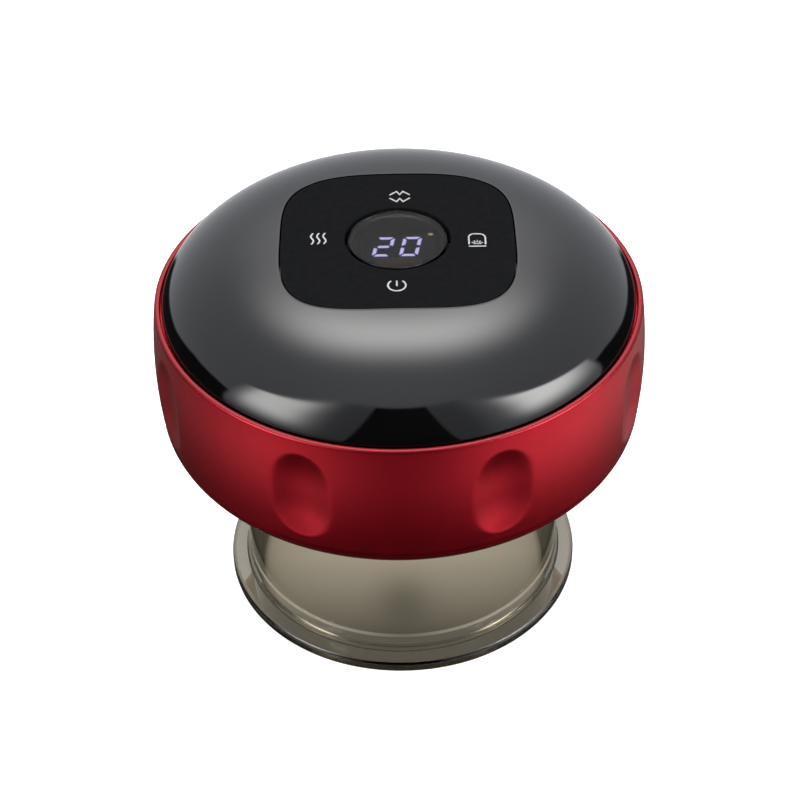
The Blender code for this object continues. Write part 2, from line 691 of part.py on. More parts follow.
def make_top_cover(finish):
    """The gloss dome: a thin shell with a sunk pan for the key plate and four screw bosses."""
    skirt = COVER_RADIUS - COVER_SKIRT_INSET
    skirt_foot = COVER_FOOT - COVER_SKIRT_DEPTH
    cover = turned("top_cover", dome_points(0, COVER_RADIUS) + [
        (COVER_RADIUS, COVER_FOOT),
        (skirt, COVER_FOOT),
        (skirt, skirt_foot),
        (0, skirt_foot),
    ], finish, BODY_SIDES)
    inner = skirt - COVER_SKIRT_WALL
    space = turned("cover_space", dome_points(0, inner, COVER_WALL) + [
        (inner, skirt_foot - CUT_OVERRUN),
        (0, skirt_foot - CUT_OVERRUN),
    ], sides=BODY_SIDES)
    pan_outline = panel_outline(PANEL_GAP + PAN_WALL)
    cut(space, prism("pan_block", pan_outline, PAN_FLOOR_UNDERSIDE, COVER_TOP + CUT_OVERRUN))
    cut(cover, space)
    cut(cover, prism("pan_recess", panel_outline(PANEL_GAP), PAN_FLOOR_TOP, COVER_TOP + CUT_OVERRUN))
    floor_holes = cylinder("holder_hole", HOLDER_RADIUS + 2 * SEAT_GAP, PAN_FLOOR_UNDERSIDE - CUT_OVERRUN,
                           COVER_TOP + CUT_OVERRUN, sides=BODY_SIDES)
    join(floor_holes, cylinder("nub_holes", NUB_RADIUS + NUB_HOLE_MARGIN, PAN_FLOOR_UNDERSIDE - CUT_OVERRUN,
                               COVER_TOP + CUT_OVERRUN, spots=key_spots()))
    cut(cover, floor_holes)
    boss_top = LIP_HEIGHT + dome_height(BOSS_CIRCLE + BOSS_RADIUS, COVER_WALL / 2)
    join(cover, cylinder("bosses", BOSS_RADIUS, BASE_TOP + SEAT_GAP, boss_top, spots=boss_spots()))
    cut(cover, cylinder("pilot_holes", PILOT_RADIUS, BASE_TOP, BASE_TOP + PILOT_DEPTH,
                        sides=SMALL_SIDES // 2, spots=boss_spots()))
    return cover


def make_key_plate(finish):
    """The matt four-way plate, curved like the dome, with the hole that the lens stands in."""
    reach = PANEL_HALF_WIDTH * 2 ** 0.5
    surface = dome_points(LENS_HOLE_RADIUS, reach, rows=PLATE_ROWS)
    top = [(radius, height - PLATE_RECESS) for radius, height in surface]
    under = [(radius, height - PLATE_THICKNESS) for radius, height in reversed(top)]
    plate = turned("key_plate", top + under, finish, BODY_SIDES)
    outline = prism("plate_outline", panel_outline(), PAN_FLOOR_TOP, COVER_TOP + CUT_OVERRUN)
    combine(plate, outline, "INTERSECT")
    return plate


def make_key_mat(finish):
    """A soft ring under the plate, with a pad on top and a nub below at each key."""
    mat = turned("key_mat", [
        (LENS_HOLE_RADIUS, MAT_UNDERSIDE),
        (MAT_RADIUS, MAT_UNDERSIDE),
        (MAT_RADIUS, MAT_UNDERSIDE + MAT_THICKNESS),
        (LENS_HOLE_RADIUS, MAT_UNDERSIDE + MAT_THICKNESS),
    ], finish, BODY_SIDES // 2)
    plate_underside = LIP_HEIGHT + dome_height(KEY_CIRCLE + KEY_PAD_RADIUS) - PLATE_RECESS - PLATE_THICKNESS
    pad_top = plate_underside - KEY_STROKE_GAP
    nub_foot = SWITCH_TOP + KEY_STROKE_GAP
    middle = MAT_UNDERSIDE + MAT_THICKNESS / 2
    join(mat, cylinder("pads", KEY_PAD_RADIUS, middle, pad_top, sides=SMALL_SIDES // 2, spots=key_spots()))
    join(mat, cylinder("nubs", NUB_RADIUS, nub_foot, middle, sides=SMALL_SIDES // 2, spots=key_spots()))
    return mat


def make_display(lens_finish, holder_finish, module_finish):
    """The round lens, the collar that carries it and the two-digit lamp block under it."""
    turned("display_lens", [
        (0, LENS_UNDERSIDE),
        (LENS_RADIUS, LENS_UNDERSIDE),
        (LENS_RADIUS, LENS_TOP, LENS_EDGE_RADIUS),
        (0, LENS_TOP),
    ], lens_finish, BODY_SIDES // 2)
    collar_top = LENS_UNDERSIDE - SEAT_GAP
    collar_foot = BOARD_TOP + SEAT_GAP
    turned("lens_holder", [
        (HOLDER_BORE, collar_foot),
        (HOLDER_RADIUS + HOLDER_FOOT / 2, collar_foot),
        (HOLDER_RADIUS + HOLDER_FOOT / 2, collar_foot + HOLDER_FOOT),
        (HOLDER_RADIUS, collar_foot + HOLDER_FOOT),
        (HOLDER_RADIUS, collar_top),
        (HOLDER_BORE, collar_top),
    ], holder_finish, BODY_SIDES // 2)
    half_width = HOLDER_BORE * MODULE_WIDTH_SHARE / 2
    half_depth = HOLDER_BORE * MODULE_DEPTH_SHARE / 2
    box("display_module", (-half_width, -half_depth, collar_foot), (half_width, half_depth, MODULE_TOP),
        module_finish, MODULE_EDGE)


def make_main_board(board_finish, part_finish, cap_finish):
    """The round circuit board, notched for the cover's bosses, with its switches and buzzer."""
    board = cylinder("main_board", BOARD_RADIUS, BOARD_UNDERSIDE, BOARD_TOP, board_finish, BODY_SIDES)
    cut(board, cylinder("board_notches", BOSS_RADIUS + 2 * SEAT_GAP, BOARD_UNDERSIDE - CUT_OVERRUN,
                        BOARD_TOP + CUT_OVERRUN, spots=boss_spots()))
    foot = BOARD_TOP + SEAT_GAP
    half = SWITCH_SIDE / 2
    names = ("tact_switch_suction", "tact_switch_mode", "tact_switch_heat", "tact_switch_power")
    for name, (x, y) in zip(names, key_spots()):
        shoulder = foot + SWITCH_BODY_HEIGHT
        switch = box(name, (x - half, y - half, foot), (x + half, y + half, shoulder), cap_finish)
        join(switch, cylinder(f"{name}_cap", SWITCH_CAP_RADIUS, shoulder - ROOT_OVERLAP, SWITCH_TOP,
                              spots=((x, y),), sides=SMALL_SIDES // 2))
    buzzer = turned("buzzer", [
        (BUZZER_HOLE, BUZZER_HEIGHT),
        (BUZZER_HOLE, BUZZER_HEIGHT / 2),
        (0, BUZZER_HEIGHT / 2),
        (0, 0),
        (BUZZER_RADIUS, 0),
        (BUZZER_RADIUS, BUZZER_HEIGHT),
    ], part_finish)
    buzzer_x, buzzer_y = (BOARD_RADIUS * share for share in BUZZER_PLACE_SHARES)
    place(buzzer, (buzzer_x, buzzer_y, foot))
    chip_x, chip_y = (BOARD_RADIUS * share for share in CHIP_PLACE_SHARES)
    box("control_chip", (chip_x - CHIP_SIDE / 2, chip_y - CHIP_SIDE / 2, foot),
        (chip_x + CHIP_SIDE / 2, chip_y + CHIP_SIDE / 2, foot + CHIP_HEIGHT), part_finish)


def make_base_plate(finish):
    """The disc that closes the body from below, with the cup's socket and the suction nozzle."""
    plate = turned("base_plate", [
        (NOZZLE_BORE, ROOF_UNDERSIDE),
        (SOCKET_RADIUS, ROOF_UNDERSIDE),
        (SOCKET_RADIUS, BASE_UNDERSIDE, NECK_CHAMFER),
        (BASE_RADIUS, BASE_UNDERSIDE),
        (BASE_RADIUS, BASE_TOP),
        (SOCKET_RADIUS + SOCKET_WALL, BASE_TOP),
        (SOCKET_RADIUS + SOCKET_WALL, ROOF_TOP),
        (NOZZLE_RADIUS, ROOF_TOP),
        (NOZZLE_RADIUS, ROOF_TOP + NOZZLE_LENGTH),
        (NOZZLE_BORE, ROOF_TOP + NOZZLE_LENGTH),
    ], finish, BODY_SIDES)
    cut(plate, cylinder("screw_holes", SCREW_HOLE_RADIUS, BASE_UNDERSIDE - CUT_OVERRUN,
                        BASE_TOP + CUT_OVERRUN, sides=SMALL_SIDES // 2, spots=boss_spots()))
    cut(plate, cylinder("screw_seats", SCREW_HEAD_RADIUS, BASE_UNDERSIDE - CUT_OVERRUN,
                        BASE_UNDERSIDE + SCREW_HEAD_DEPTH, spots=boss_spots()))
    return plate


def make_heater(plate_finish, film_finish, filter_finish):
    """The warm plate over the skin, the film that heats it and the filter in its air hole."""
    film_top = ROOF_UNDERSIDE - SEAT_GAP
    plate_top = film_top - FILM_THICKNESS - SEAT_GAP
    plate_foot = plate_top - HEAT_PLATE_THICKNESS
    turned("heating_film", [
        (AIR_HOLE_RADIUS, film_top - FILM_THICKNESS),
        (FILM_RADIUS, film_top - FILM_THICKNESS),
        (FILM_RADIUS, film_top),
        (AIR_HOLE_RADIUS, film_top),
    ], film_finish, BODY_SIDES // 2)
    turned("heat_plate", [
        (AIR_HOLE_RADIUS, plate_foot),
        (HEAT_PLATE_RADIUS, plate_foot, HEAT_PLATE_EDGE),
        (HEAT_PLATE_RADIUS, plate_top),
        (AIR_HOLE_RADIUS, plate_top),
    ], plate_finish, BODY_SIDES // 2)
    cylinder("filter_sponge", AIR_HOLE_RADIUS - SEAT_GAP, plate_foot, plate_foot + FILTER_THICKNESS,
             filter_finish)


def saddle(name, low, high, bed_radius, bed_place):
    """A rib with a round bed for what lies along X on it."""
    rib = box(name, low, high)
    bed = cylinder(f"{name}_bed", bed_radius + SEAT_GAP, -RIB_WIDTH, RIB_WIDTH)
    cut(rib, place(bed, ((low[0] + high[0]) / 2, *bed_place), ALONG_X))
    return rib


def make_chassis(finish):
    """The inner frame that carries the cell, the pump, the valve and the boards."""
    floor = CHASSIS_TOP - CHASSIS_THICKNESS
    chassis = cylinder("chassis", CHASSIS_RADIUS, floor, CHASSIS_TOP, finish, BODY_SIDES)
    cut(chassis, cylinder("nozzle_pass", NOZZLE_RADIUS + NOZZLE_CLEARANCE, floor - CUT_OVERRUN,
                          CHASSIS_TOP + CUT_OVERRUN))
    cut(chassis, cylinder("boss_passes", BOSS_RADIUS + 2 * SEAT_GAP, floor - CUT_OVERRUN,
                          CHASSIS_TOP + CUT_OVERRUN, spots=boss_spots()))
    foot = CHASSIS_TOP - ROOT_OVERLAP
    half = RIB_WIDTH / 2
    cell_ribs = (-CELL_SADDLE_SHARE * CELL_LENGTH, CELL_SADDLE_SHARE * CELL_LENGTH)
    for index, x in enumerate(cell_ribs):
        join(chassis, saddle(f"cell_saddle_{index}", (x - half, CELL_Y - CELL_RADIUS, foot),
                             (x + half, CELL_Y + CELL_RADIUS, CELL_HEIGHT - CELL_RADIUS / 2),
                             CELL_RADIUS, (CELL_Y, CELL_HEIGHT)))
    head_middle = MOTOR_FRONT_X + HEAD_START + HEAD_LENGTH / 2
    pump_ribs = (
        MOTOR_FRONT_X - MOTOR_LENGTH + MOTOR_SADDLE_INSET,
        MOTOR_FRONT_X - MOTOR_SADDLE_INSET,
        head_middle,
    )
    for index, x in enumerate(pump_ribs):
        join(chassis, saddle(f"pump_saddle_{index}", (x - half, PUMP_Y - MOTOR_RADIUS, foot),
                             (x + half, PUMP_Y + MOTOR_RADIUS, PUMP_HEIGHT - MOTOR_RADIUS / 2),
                             MOTOR_RADIUS, (PUMP_Y, PUMP_HEIGHT)))
    right_reach = BOARD_RADIUS - RIGHT_POST_SETBACK
    posts = (
        (0, BOARD_RADIUS - POST_SETBACK),
        (0, POST_SETBACK - BOARD_RADIUS),
        (LEFT_POST_SETBACK - BOARD_RADIUS, 0),
        (right_reach * cos(RIGHT_POST_ANGLE), right_reach * sin(RIGHT_POST_ANGLE)),
    )
    join(chassis, cylinder("board_posts", POST_RADIUS, foot, BOARD_UNDERSIDE - SEAT_GAP,
                           sides=SMALL_SIDES // 2, spots=posts))
    shelf_top = SOCKET_HEIGHT - USB_HEIGHT / 2 - 2 * SEAT_GAP - CHARGE_BOARD_THICKNESS
    mouth = socket_mouth()
    join(chassis, box("socket_shelf", (-SHELF_WIDTH / 2, mouth - SHELF_REACH, foot - ROOT_OVERLAP),
                      (SHELF_WIDTH / 2, mouth - SHELF_SETBACK, shelf_top)))
    return chassis


def make_battery(finish):
    """The lithium cell, lying on its saddles."""
    half = CELL_LENGTH / 2
    cell = turned("battery_cell", [
        (0, -half),
        (CELL_RADIUS, -half, CELL_EDGE),
        (CELL_RADIUS, half, CELL_EDGE),
        (CELL_CAP_RADIUS, half),
        (CELL_CAP_RADIUS, half + CELL_CAP_HEIGHT),
        (0, half + CELL_CAP_HEIGHT),
    ], finish)
    return place(cell, (0, CELL_Y, CELL_HEIGHT), ALONG_X)


def make_pump(motor_finish, crank_finish, bracket_finish, rubber_finish, head_finish):
    """The vacuum pump. Its pieces are turned about their own Z and laid along X from the motor's face."""
    motor = turned("pump_motor", [
        (0, -MOTOR_LENGTH),
        (MOTOR_RADIUS, -MOTOR_LENGTH, MOTOR_EDGE),
        (MOTOR_RADIUS, 0, MOTOR_EDGE / 2),
        (MOTOR_BOSS_RADIUS, 0),
        (MOTOR_BOSS_RADIUS, MOTOR_BOSS_LENGTH),
        (SHAFT_RADIUS + SEAT_GAP, MOTOR_BOSS_LENGTH),
        (SHAFT_RADIUS + SEAT_GAP, -SHAFT_BORE_DEPTH),
        (0, -SHAFT_BORE_DEPTH),
    ], motor_finish)
    crank_foot = CRANK_TOP - CRANK_THICKNESS
    crank_radius = CRANK_RADIUS_SHARE * MOTOR_RADIUS
    crank = turned("pump_crank", [
        (0, SEAT_GAP - SHAFT_BORE_DEPTH),
        (SHAFT_RADIUS, SEAT_GAP - SHAFT_BORE_DEPTH),
        (SHAFT_RADIUS, crank_foot),
        (crank_radius, crank_foot, MOTOR_EDGE / 2),
        (crank_radius, CRANK_TOP),
        (0, CRANK_TOP),
    ], crank_finish)
    pin = cylinder("crank_pin", CRANK_PIN_RADIUS, CRANK_TOP - ROOT_OVERLAP, CRANK_TOP + CRANK_PIN_LENGTH,
                   spots=((CRANK_THROW, 0),), sides=SMALL_SIDES // 2)
    bracket = turned("pump_bracket", [
        (MOTOR_BOSS_RADIUS + SEAT_GAP, SEAT_GAP),
        (MOTOR_RADIUS, SEAT_GAP),
        (MOTOR_RADIUS, BRACKET_LENGTH),
        (MOTOR_RADIUS - BRACKET_WALL, BRACKET_LENGTH),
        (MOTOR_RADIUS - BRACKET_WALL, SEAT_GAP + BRACKET_WALL),
        (MOTOR_BOSS_RADIUS + SEAT_GAP, SEAT_GAP + BRACKET_WALL),
    ], bracket_finish)
    window_half = MOTOR_RADIUS * BRACKET_WINDOW_SHARE
    window = box("bracket_window", (-window_half, -MOTOR_RADIUS - CUT_OVERRUN, 2 * BRACKET_WALL),
                 (window_half, MOTOR_RADIUS + CUT_OVERRUN, BRACKET_LENGTH - 2 * BRACKET_WALL))
    diaphragm_foot = BRACKET_LENGTH + SEAT_GAP
    diaphragm = turned("pump_diaphragm", [
        (0, diaphragm_foot - DIAPHRAGM_STEM_LENGTH),
        (DIAPHRAGM_STEM_RADIUS, diaphragm_foot - DIAPHRAGM_STEM_LENGTH),
        (DIAPHRAGM_STEM_RADIUS, diaphragm_foot),
        (MOTOR_RADIUS - SEAT_GAP, diaphragm_foot),
        (MOTOR_RADIUS - SEAT_GAP, diaphragm_foot + DIAPHRAGM_THICKNESS),
        (0, diaphragm_foot + DIAPHRAGM_THICKNESS),
    ], rubber_finish)
    head_top = HEAD_START + HEAD_LENGTH
    head = turned("pump_head", [
        (0, HEAD_START),
        (MOTOR_RADIUS, HEAD_START, HEAD_EDGE),
        (MOTOR_RADIUS, head_top, HEAD_EDGE),
        (0, head_top),
    ], head_finish)
    placement = ((MOTOR_FRONT_X, PUMP_Y, PUMP_HEIGHT), ALONG_X)
    spots = [(0, side * SPIGOT_SPACING_SHARE * MOTOR_RADIUS / 2) for side in (-1, 1)]
    spigots = cylinder("head_spigots", SPIGOT_RADIUS, head_top - ROOT_OVERLAP, head_top + SPIGOT_LENGTH,
                       sides=SMALL_SIDES // 2, spots=spots)
    bores = cylinder("head_bores", SPIGOT_BORE, head_top + ROOT_OVERLAP,
                     head_top + SPIGOT_LENGTH + CUT_OVERRUN, sides=SMALL_SIDES // 2, spots=spots)
    join(head, place(spigots, *placement))
    cut(head, place(bores, *placement))
    join(crank, place(pin, *placement))
    cut(bracket, place(window, *placement))
    for item in (motor, crank, bracket, diaphragm, head):
        place(item, *placement)


def make_valve(body_finish, coil_finish, yoke_finish, plunger_finish, spring_finish):
    """The solenoid valve that lets air back into the cup."""
    half = VALVE_SIDE / 2
    body = box("valve_body", (VALVE_X - half, -half, VALVE_FOOT), (VALVE_X + half, half, VALVE_TOP),
               body_finish)
    spigot = cylinder("cup_spigot", SPIGOT_RADIUS, -half - SPIGOT_LENGTH, -half + ROOT_OVERLAP,
                      sides=SMALL_SIDES // 2)
    join(body, place(spigot, (VALVE_X, 0, PORT_Z), ALONG_X))
    spigot = cylinder("pump_spigot", SPIGOT_RADIUS, half - ROOT_OVERLAP, half + SPIGOT_LENGTH,
                      sides=SMALL_SIDES // 2)
    join(body, place(spigot, (VALVE_X, 0, PORT_Z), (pi / 2, 0, 0)))
    for index, turn in enumerate(((0, -pi / 2, 0), (pi / 2, 0, 0))):
        bore = cylinder(f"valve_bore_{index}", SPIGOT_BORE, half + ROOT_OVERLAP,
                        half + SPIGOT_LENGTH + CUT_OVERRUN, sides=SMALL_SIDES // 2)
        cut(body, place(bore, (VALVE_X, 0, PORT_Z), turn))
    plunger = turned("valve_plunger", [
        (0, 0),
        (PLUNGER_FLANGE_RADIUS, 0),
        (PLUNGER_FLANGE_RADIUS, PLUNGER_FLANGE_THICKNESS),
        (PLUNGER_RADIUS, PLUNGER_FLANGE_THICKNESS),
        (PLUNGER_RADIUS, PLUNGER_LENGTH),
        (0, PLUNGER_LENGTH),
    ], plunger_finish)
    place(plunger, (VALVE_X, 0, PLUNGER_FOOT))
    coil_bore = PLUNGER_RADIUS + COIL_BORE_GAP
    coil = turned("valve_coil", [
        (coil_bore, 0),
        (COIL_RADIUS, 0),
        (COIL_RADIUS, COIL_HEIGHT),
        (coil_bore, COIL_HEIGHT),
    ], coil_finish)
    place(coil, (VALVE_X, 0, COIL_FOOT))
    yoke_top = COIL_FOOT + COIL_HEIGHT + SEAT_GAP
    yoke_foot = VALVE_TOP + SEAT_GAP
    yoke = box("valve_yoke", (VALVE_X - half, -YOKE_DEPTH / 2, yoke_foot),
               (VALVE_X + half, YOKE_DEPTH / 2, yoke_top + YOKE_THICKNESS), yoke_finish)
    inside = half - YOKE_THICKNESS
    cut(yoke, box("yoke_window", (VALVE_X - inside, -YOKE_DEPTH, yoke_foot - CUT_OVERRUN),
                  (VALVE_X + inside, YOKE_DEPTH, yoke_top)))
    turns = SPRING_TURNS * SPRING_POINTS_PER_TURN
    rise = SPRING_HEIGHT - SPRING_WIRE
    route = []
    for index in range(turns + 1):
        angle = 2 * pi * index / SPRING_POINTS_PER_TURN
        route.append(Vector((VALVE_X + SPRING_RADIUS * cos(angle), SPRING_RADIUS * sin(angle),
                             SPRING_FOOT + SPRING_WIRE / 2 + rise * index / turns)))
    tube("valve_spring", route, SPRING_WIRE / 2, spring_finish)


def make_hoses(finish):
    """The air lines: cup nozzle to valve, and pump to valve."""
    nozzle_top = ROOF_TOP + NOZZLE_LENGTH + SEAT_GAP
    valve_half = VALVE_SIDE / 2
    port_x = VALVE_X - valve_half - SPIGOT_LENGTH - SEAT_GAP
    rise = HOSE_RISE_SHARE * port_x
    route = [
        Vector((0, 0, nozzle_top)),
        Vector((0, 0, nozzle_top + HOSE_LEAD)),
        Vector((rise, 0, nozzle_top + HOSE_LEAD + rise)),
        Vector((port_x - 2 * rise, 0, (nozzle_top + HOSE_LEAD + rise + PORT_Z) / 2)),
        Vector((port_x - HOSE_LEAD, 0, PORT_Z)),
        Vector((port_x, 0, PORT_Z)),
    ]
    tube("suction_hose", smooth_route(route, HOSE_STEPS), HOSE_RADIUS, finish)
    pump_x = MOTOR_FRONT_X + PUMP_LENGTH
    pump_y = PUMP_Y - SPIGOT_SPACING_SHARE * MOTOR_RADIUS / 2
    port_y = -valve_half - SPIGOT_LENGTH - SEAT_GAP
    route = [
        Vector((pump_x, pump_y, PUMP_HEIGHT)),
        Vector((pump_x + HOSE_LEAD, pump_y, PUMP_HEIGHT)),
        Vector((VALVE_X - HOSE_LEAD, pump_y - HOSE_LEAD, (PUMP_HEIGHT + PORT_Z) / 2)),
        Vector((VALVE_X, port_y - HOSE_LEAD, PORT_Z)),
        Vector((VALVE_X, port_y, PORT_Z)),
    ]
    tube("pump_hose", smooth_route(route, HOSE_STEPS), HOSE_RADIUS, finish)


def pill(width, height):
    """An outline with straight long sides and round ends, in the XY plane."""
    end = height / 2
    outline = []
    for side in (1, -1):
        for step in range(USB_CORNER_POINTS + 1):
            angle = pi * step / USB_CORNER_POINTS - pi / 2
            outline.append((side * (width / 2 - end + end * cos(angle)), side * end * sin(angle)))
    return outline


def socket_mouth():
    """Y of the charging socket's mouth, just inside the grip ring's wall."""
    inner = belly(SOCKET_HEIGHT) - RING_WALL
    half = USB_WIDTH / 2
    return (inner ** 2 - half ** 2) ** 0.5 - SEAT_GAP


def make_charge_port(socket_finish, board_finish):
    """The charging socket on its own small board."""
    mouth = socket_mouth()
    socket = prism("charge_socket", pill(USB_WIDTH, USB_HEIGHT), 0, USB_LENGTH, socket_finish)
    placement = ((0, mouth - USB_LENGTH, SOCKET_HEIGHT), (-pi / 2, 0, 0))
    hollow = prism("socket_hollow", pill(USB_WIDTH - 2 * USB_SHELL, USB_HEIGHT - 2 * USB_SHELL),
                   USB_BACK_WALL, USB_LENGTH + CUT_OVERRUN)
    half_width, half_thickness = USB_TONGUE_WIDTH / 2, USB_TONGUE_THICKNESS / 2
    tongue = box("socket_tongue", (-half_width, -half_thickness, USB_BACK_WALL - ROOT_OVERLAP),
                 (half_width, half_thickness, USB_LENGTH - USB_TONGUE_SETBACK))
    for item in (socket, hollow, tongue):
        place(item, *placement)
    cut(socket, hollow)
    join(socket, tongue)
    board_top = SOCKET_HEIGHT - USB_HEIGHT / 2 - SEAT_GAP
    box("charge_board", (-CHARGE_BOARD_WIDTH / 2, mouth - SHELF_REACH, board_top - CHARGE_BOARD_THICKNESS),
        (CHARGE_BOARD_WIDTH / 2, mouth - SHELF_SETBACK, board_top), board_finish)


clear_scene()
parts = new_collection("electric_cupping_massager")
cutters = new_collection("cutters")

smoke_clear = material("smoke_clear", (0.20, 0.18, 0.14), 0.05, alpha=0.45)
red_paint = material("red_paint", (0.22, 0.006, 0.012), 0.32, metallic=0.6)
gloss_black = material("gloss_black", (0.008, 0.008, 0.009), 0.06)
matt_black = material("matt_black", (0.012, 0.013, 0.013), 0.55)
lens_smoke = material("lens_smoke", (0.03, 0.03, 0.03), 0.08, alpha=0.7)
white_plastic = material("white_plastic", (0.75, 0.75, 0.72), 0.45)
black_plastic = material("black_plastic", (0.03, 0.03, 0.032), 0.5)
soft_rubber = material("soft_rubber", (0.05, 0.05, 0.05), 0.7)
clear_silicone = material("clear_silicone", (0.70, 0.70, 0.66), 0.35)
board_green = material("board_green", (0.01, 0.10, 0.04), 0.4)
brushed_aluminium = material("brushed_aluminium", (0.72, 0.72, 0.73), 0.3, metallic=1.0)
bright_steel = material("bright_steel", (0.60, 0.60, 0.61), 0.22, metallic=1.0)
coil_copper = material("coil_copper", (0.55, 0.20, 0.08), 0.35, metallic=0.9)
film_amber = material("film_amber", (0.45, 0.20, 0.03), 0.3)
sponge_white = material("sponge_white", (0.80, 0.80, 0.78), 0.95)
cell_wrap = material("cell_wrap", (0.02, 0.12, 0.35), 0.35)

make_cup(smoke_clear)
make_cup_seal(soft_rubber)
make_grip_ring(red_paint)
make_top_cover(gloss_black)
make_key_plate(matt_black)
make_key_mat(clear_silicone)
make_display(lens_smoke, black_plastic, black_plastic)
make_main_board(board_green, black_plastic, black_plastic)
make_base_plate(black_plastic)
make_heater(brushed_aluminium, film_amber, sponge_white)
make_chassis(white_plastic)
make_battery(cell_wrap)
make_pump(bright_steel, white_plastic, white_plastic, soft_rubber, black_plastic)
make_valve(white_plastic, coil_copper, bright_steel, bright_steel, bright_steel)
make_hoses(clear_silicone)
make_charge_port(bright_steel, board_green)
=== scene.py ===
# %% [markdown]
# # An electric cupping massager, dressed for its photograph
#
# The real object is a small vacuum cup with a head on top. A person stands it on the skin, presses one of
# four keys, and a pump in the head draws the air out of the clear cup. The CAD model already holds every
# solid at its true size: cup, painted grip ring, gloss dome, key plate, lens, and the pump, cell, valve and
# boards inside. This lesson puts finer surfaces over what the eye sees, gives each piece its finish, and
# lights it as a studio would.
#
# The first cell opens the CAD model as a fixed frame. Lengths in the lesson are in millimetres, because the
# object was drawn in them, and one factor turns them into the metres that Blender works in.

import json

import bmesh
import bpy
import numpy as np
from mathutils import Matrix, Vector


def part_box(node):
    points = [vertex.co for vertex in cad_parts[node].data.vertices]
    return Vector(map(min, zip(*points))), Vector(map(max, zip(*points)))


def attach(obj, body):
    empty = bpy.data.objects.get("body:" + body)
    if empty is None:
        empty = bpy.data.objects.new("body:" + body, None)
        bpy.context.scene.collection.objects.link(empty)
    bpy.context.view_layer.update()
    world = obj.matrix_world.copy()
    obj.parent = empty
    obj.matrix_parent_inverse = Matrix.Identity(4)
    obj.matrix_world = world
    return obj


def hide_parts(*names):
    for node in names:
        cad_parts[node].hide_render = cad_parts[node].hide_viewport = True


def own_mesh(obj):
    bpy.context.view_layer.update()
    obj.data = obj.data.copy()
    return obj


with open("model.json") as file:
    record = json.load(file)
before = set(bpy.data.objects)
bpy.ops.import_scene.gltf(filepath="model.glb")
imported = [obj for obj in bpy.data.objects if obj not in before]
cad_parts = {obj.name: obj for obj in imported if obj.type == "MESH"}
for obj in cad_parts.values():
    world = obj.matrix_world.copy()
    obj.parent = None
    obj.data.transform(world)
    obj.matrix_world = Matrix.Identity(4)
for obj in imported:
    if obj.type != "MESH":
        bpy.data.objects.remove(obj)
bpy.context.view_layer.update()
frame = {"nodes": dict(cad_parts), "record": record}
MM = 0.001
PI = np.pi

# %% [markdown]
# ## A surface is a grid of points
#
# Nearly every piece of this object is round or runs along a path, so each one can be written as a grid: rows
# follow the outline from one end to the other, and columns go round. If the grid's points come from a
# formula, a change of one number gives a new piece, and no hand work is lost. A closed solid needs a grid
# that joins up with itself both ways, or one whose first and last rows shrink to a point. Points closer than
# half a thousandth of a millimetre are merged, and an edge that turns by more than 32 degrees stays sharp.

# %% From grid to mesh
def faces_of(rows, columns, along, first):
    """Four-sided faces between a grid's neighbours. Its columns close round and, if along, its rows too."""
    index = np.arange(rows * columns).reshape(rows, columns) + first
    index = np.hstack((index, index[:, :1]))
    if along:
        index = np.vstack((index, index[:1]))
    corners = (index[:-1, :-1], index[:-1, 1:], index[1:, 1:], index[1:, :-1])
    return np.stack(corners, axis=-1).reshape(-1, 4)


SAME_PLACE, SHARP = 0.0005, 32


def cleaned(mesh):
    """Merge points in one place, turn all faces outwards, and mark the edges that stay sharp."""
    shape = bmesh.new()
    shape.from_mesh(mesh)
    bmesh.ops.remove_doubles(shape, verts=shape.verts, dist=SAME_PLACE * MM)
    bmesh.ops.recalc_face_normals(shape, faces=shape.faces)
    shape.to_mesh(mesh)
    shape.free()
    mesh.set_sharp_from_angle(angle=np.radians(SHARP))
    return mesh


def mesh_of(name, shells):
    """One mesh from shells, each a pair: points (rows, columns, 3) in mm, and whether its rows close too."""
    places, faces, first = [], [], 0
    for points, along in shells:
        rows, columns = points.shape[:2]
        places.append(points.reshape(-1, 3))
        faces.append(faces_of(rows, columns, along, first))
        first += rows * columns
    mesh = bpy.data.meshes.new(name)
    mesh.from_pydata(np.concatenate(places) * MM, [], np.concatenate(faces).tolist())
    mesh.shade_smooth()
    return cleaned(mesh)


def piece(name, shells, finish, body, stands_for=(), even=False):
    """A finished piece: it moves with a CAD body, and stands for the CAD nodes that are named."""
    item = bpy.data.objects.new(name, mesh_of(name, shells))
    bpy.context.scene.collection.objects.link(item)
    item.data.materials.append(finish)
    if even:
        weights = item.modifiers.new("Large faces lead", "WEIGHTED_NORMAL")
        weights.keep_sharp = True
    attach(item, body)
    if stands_for:
        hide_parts(*stands_for)
    print(f"{name}: {len(item.data.polygons)} faces, size in mm "
          f"{[round(side / MM, 2) for side in item.dimensions]}")
    return item


# %% [markdown]
# ## Turned shapes and slabs
#
# Moulded parts have no sharp corners: the tool that cuts the mould is round, and a small radius lets the
# plastic flow. So an outline is given by its corners, each with its own radius, and the arcs are filled in.
# A light that glides over such an edge draws the thin bright line that makes a small part look real.

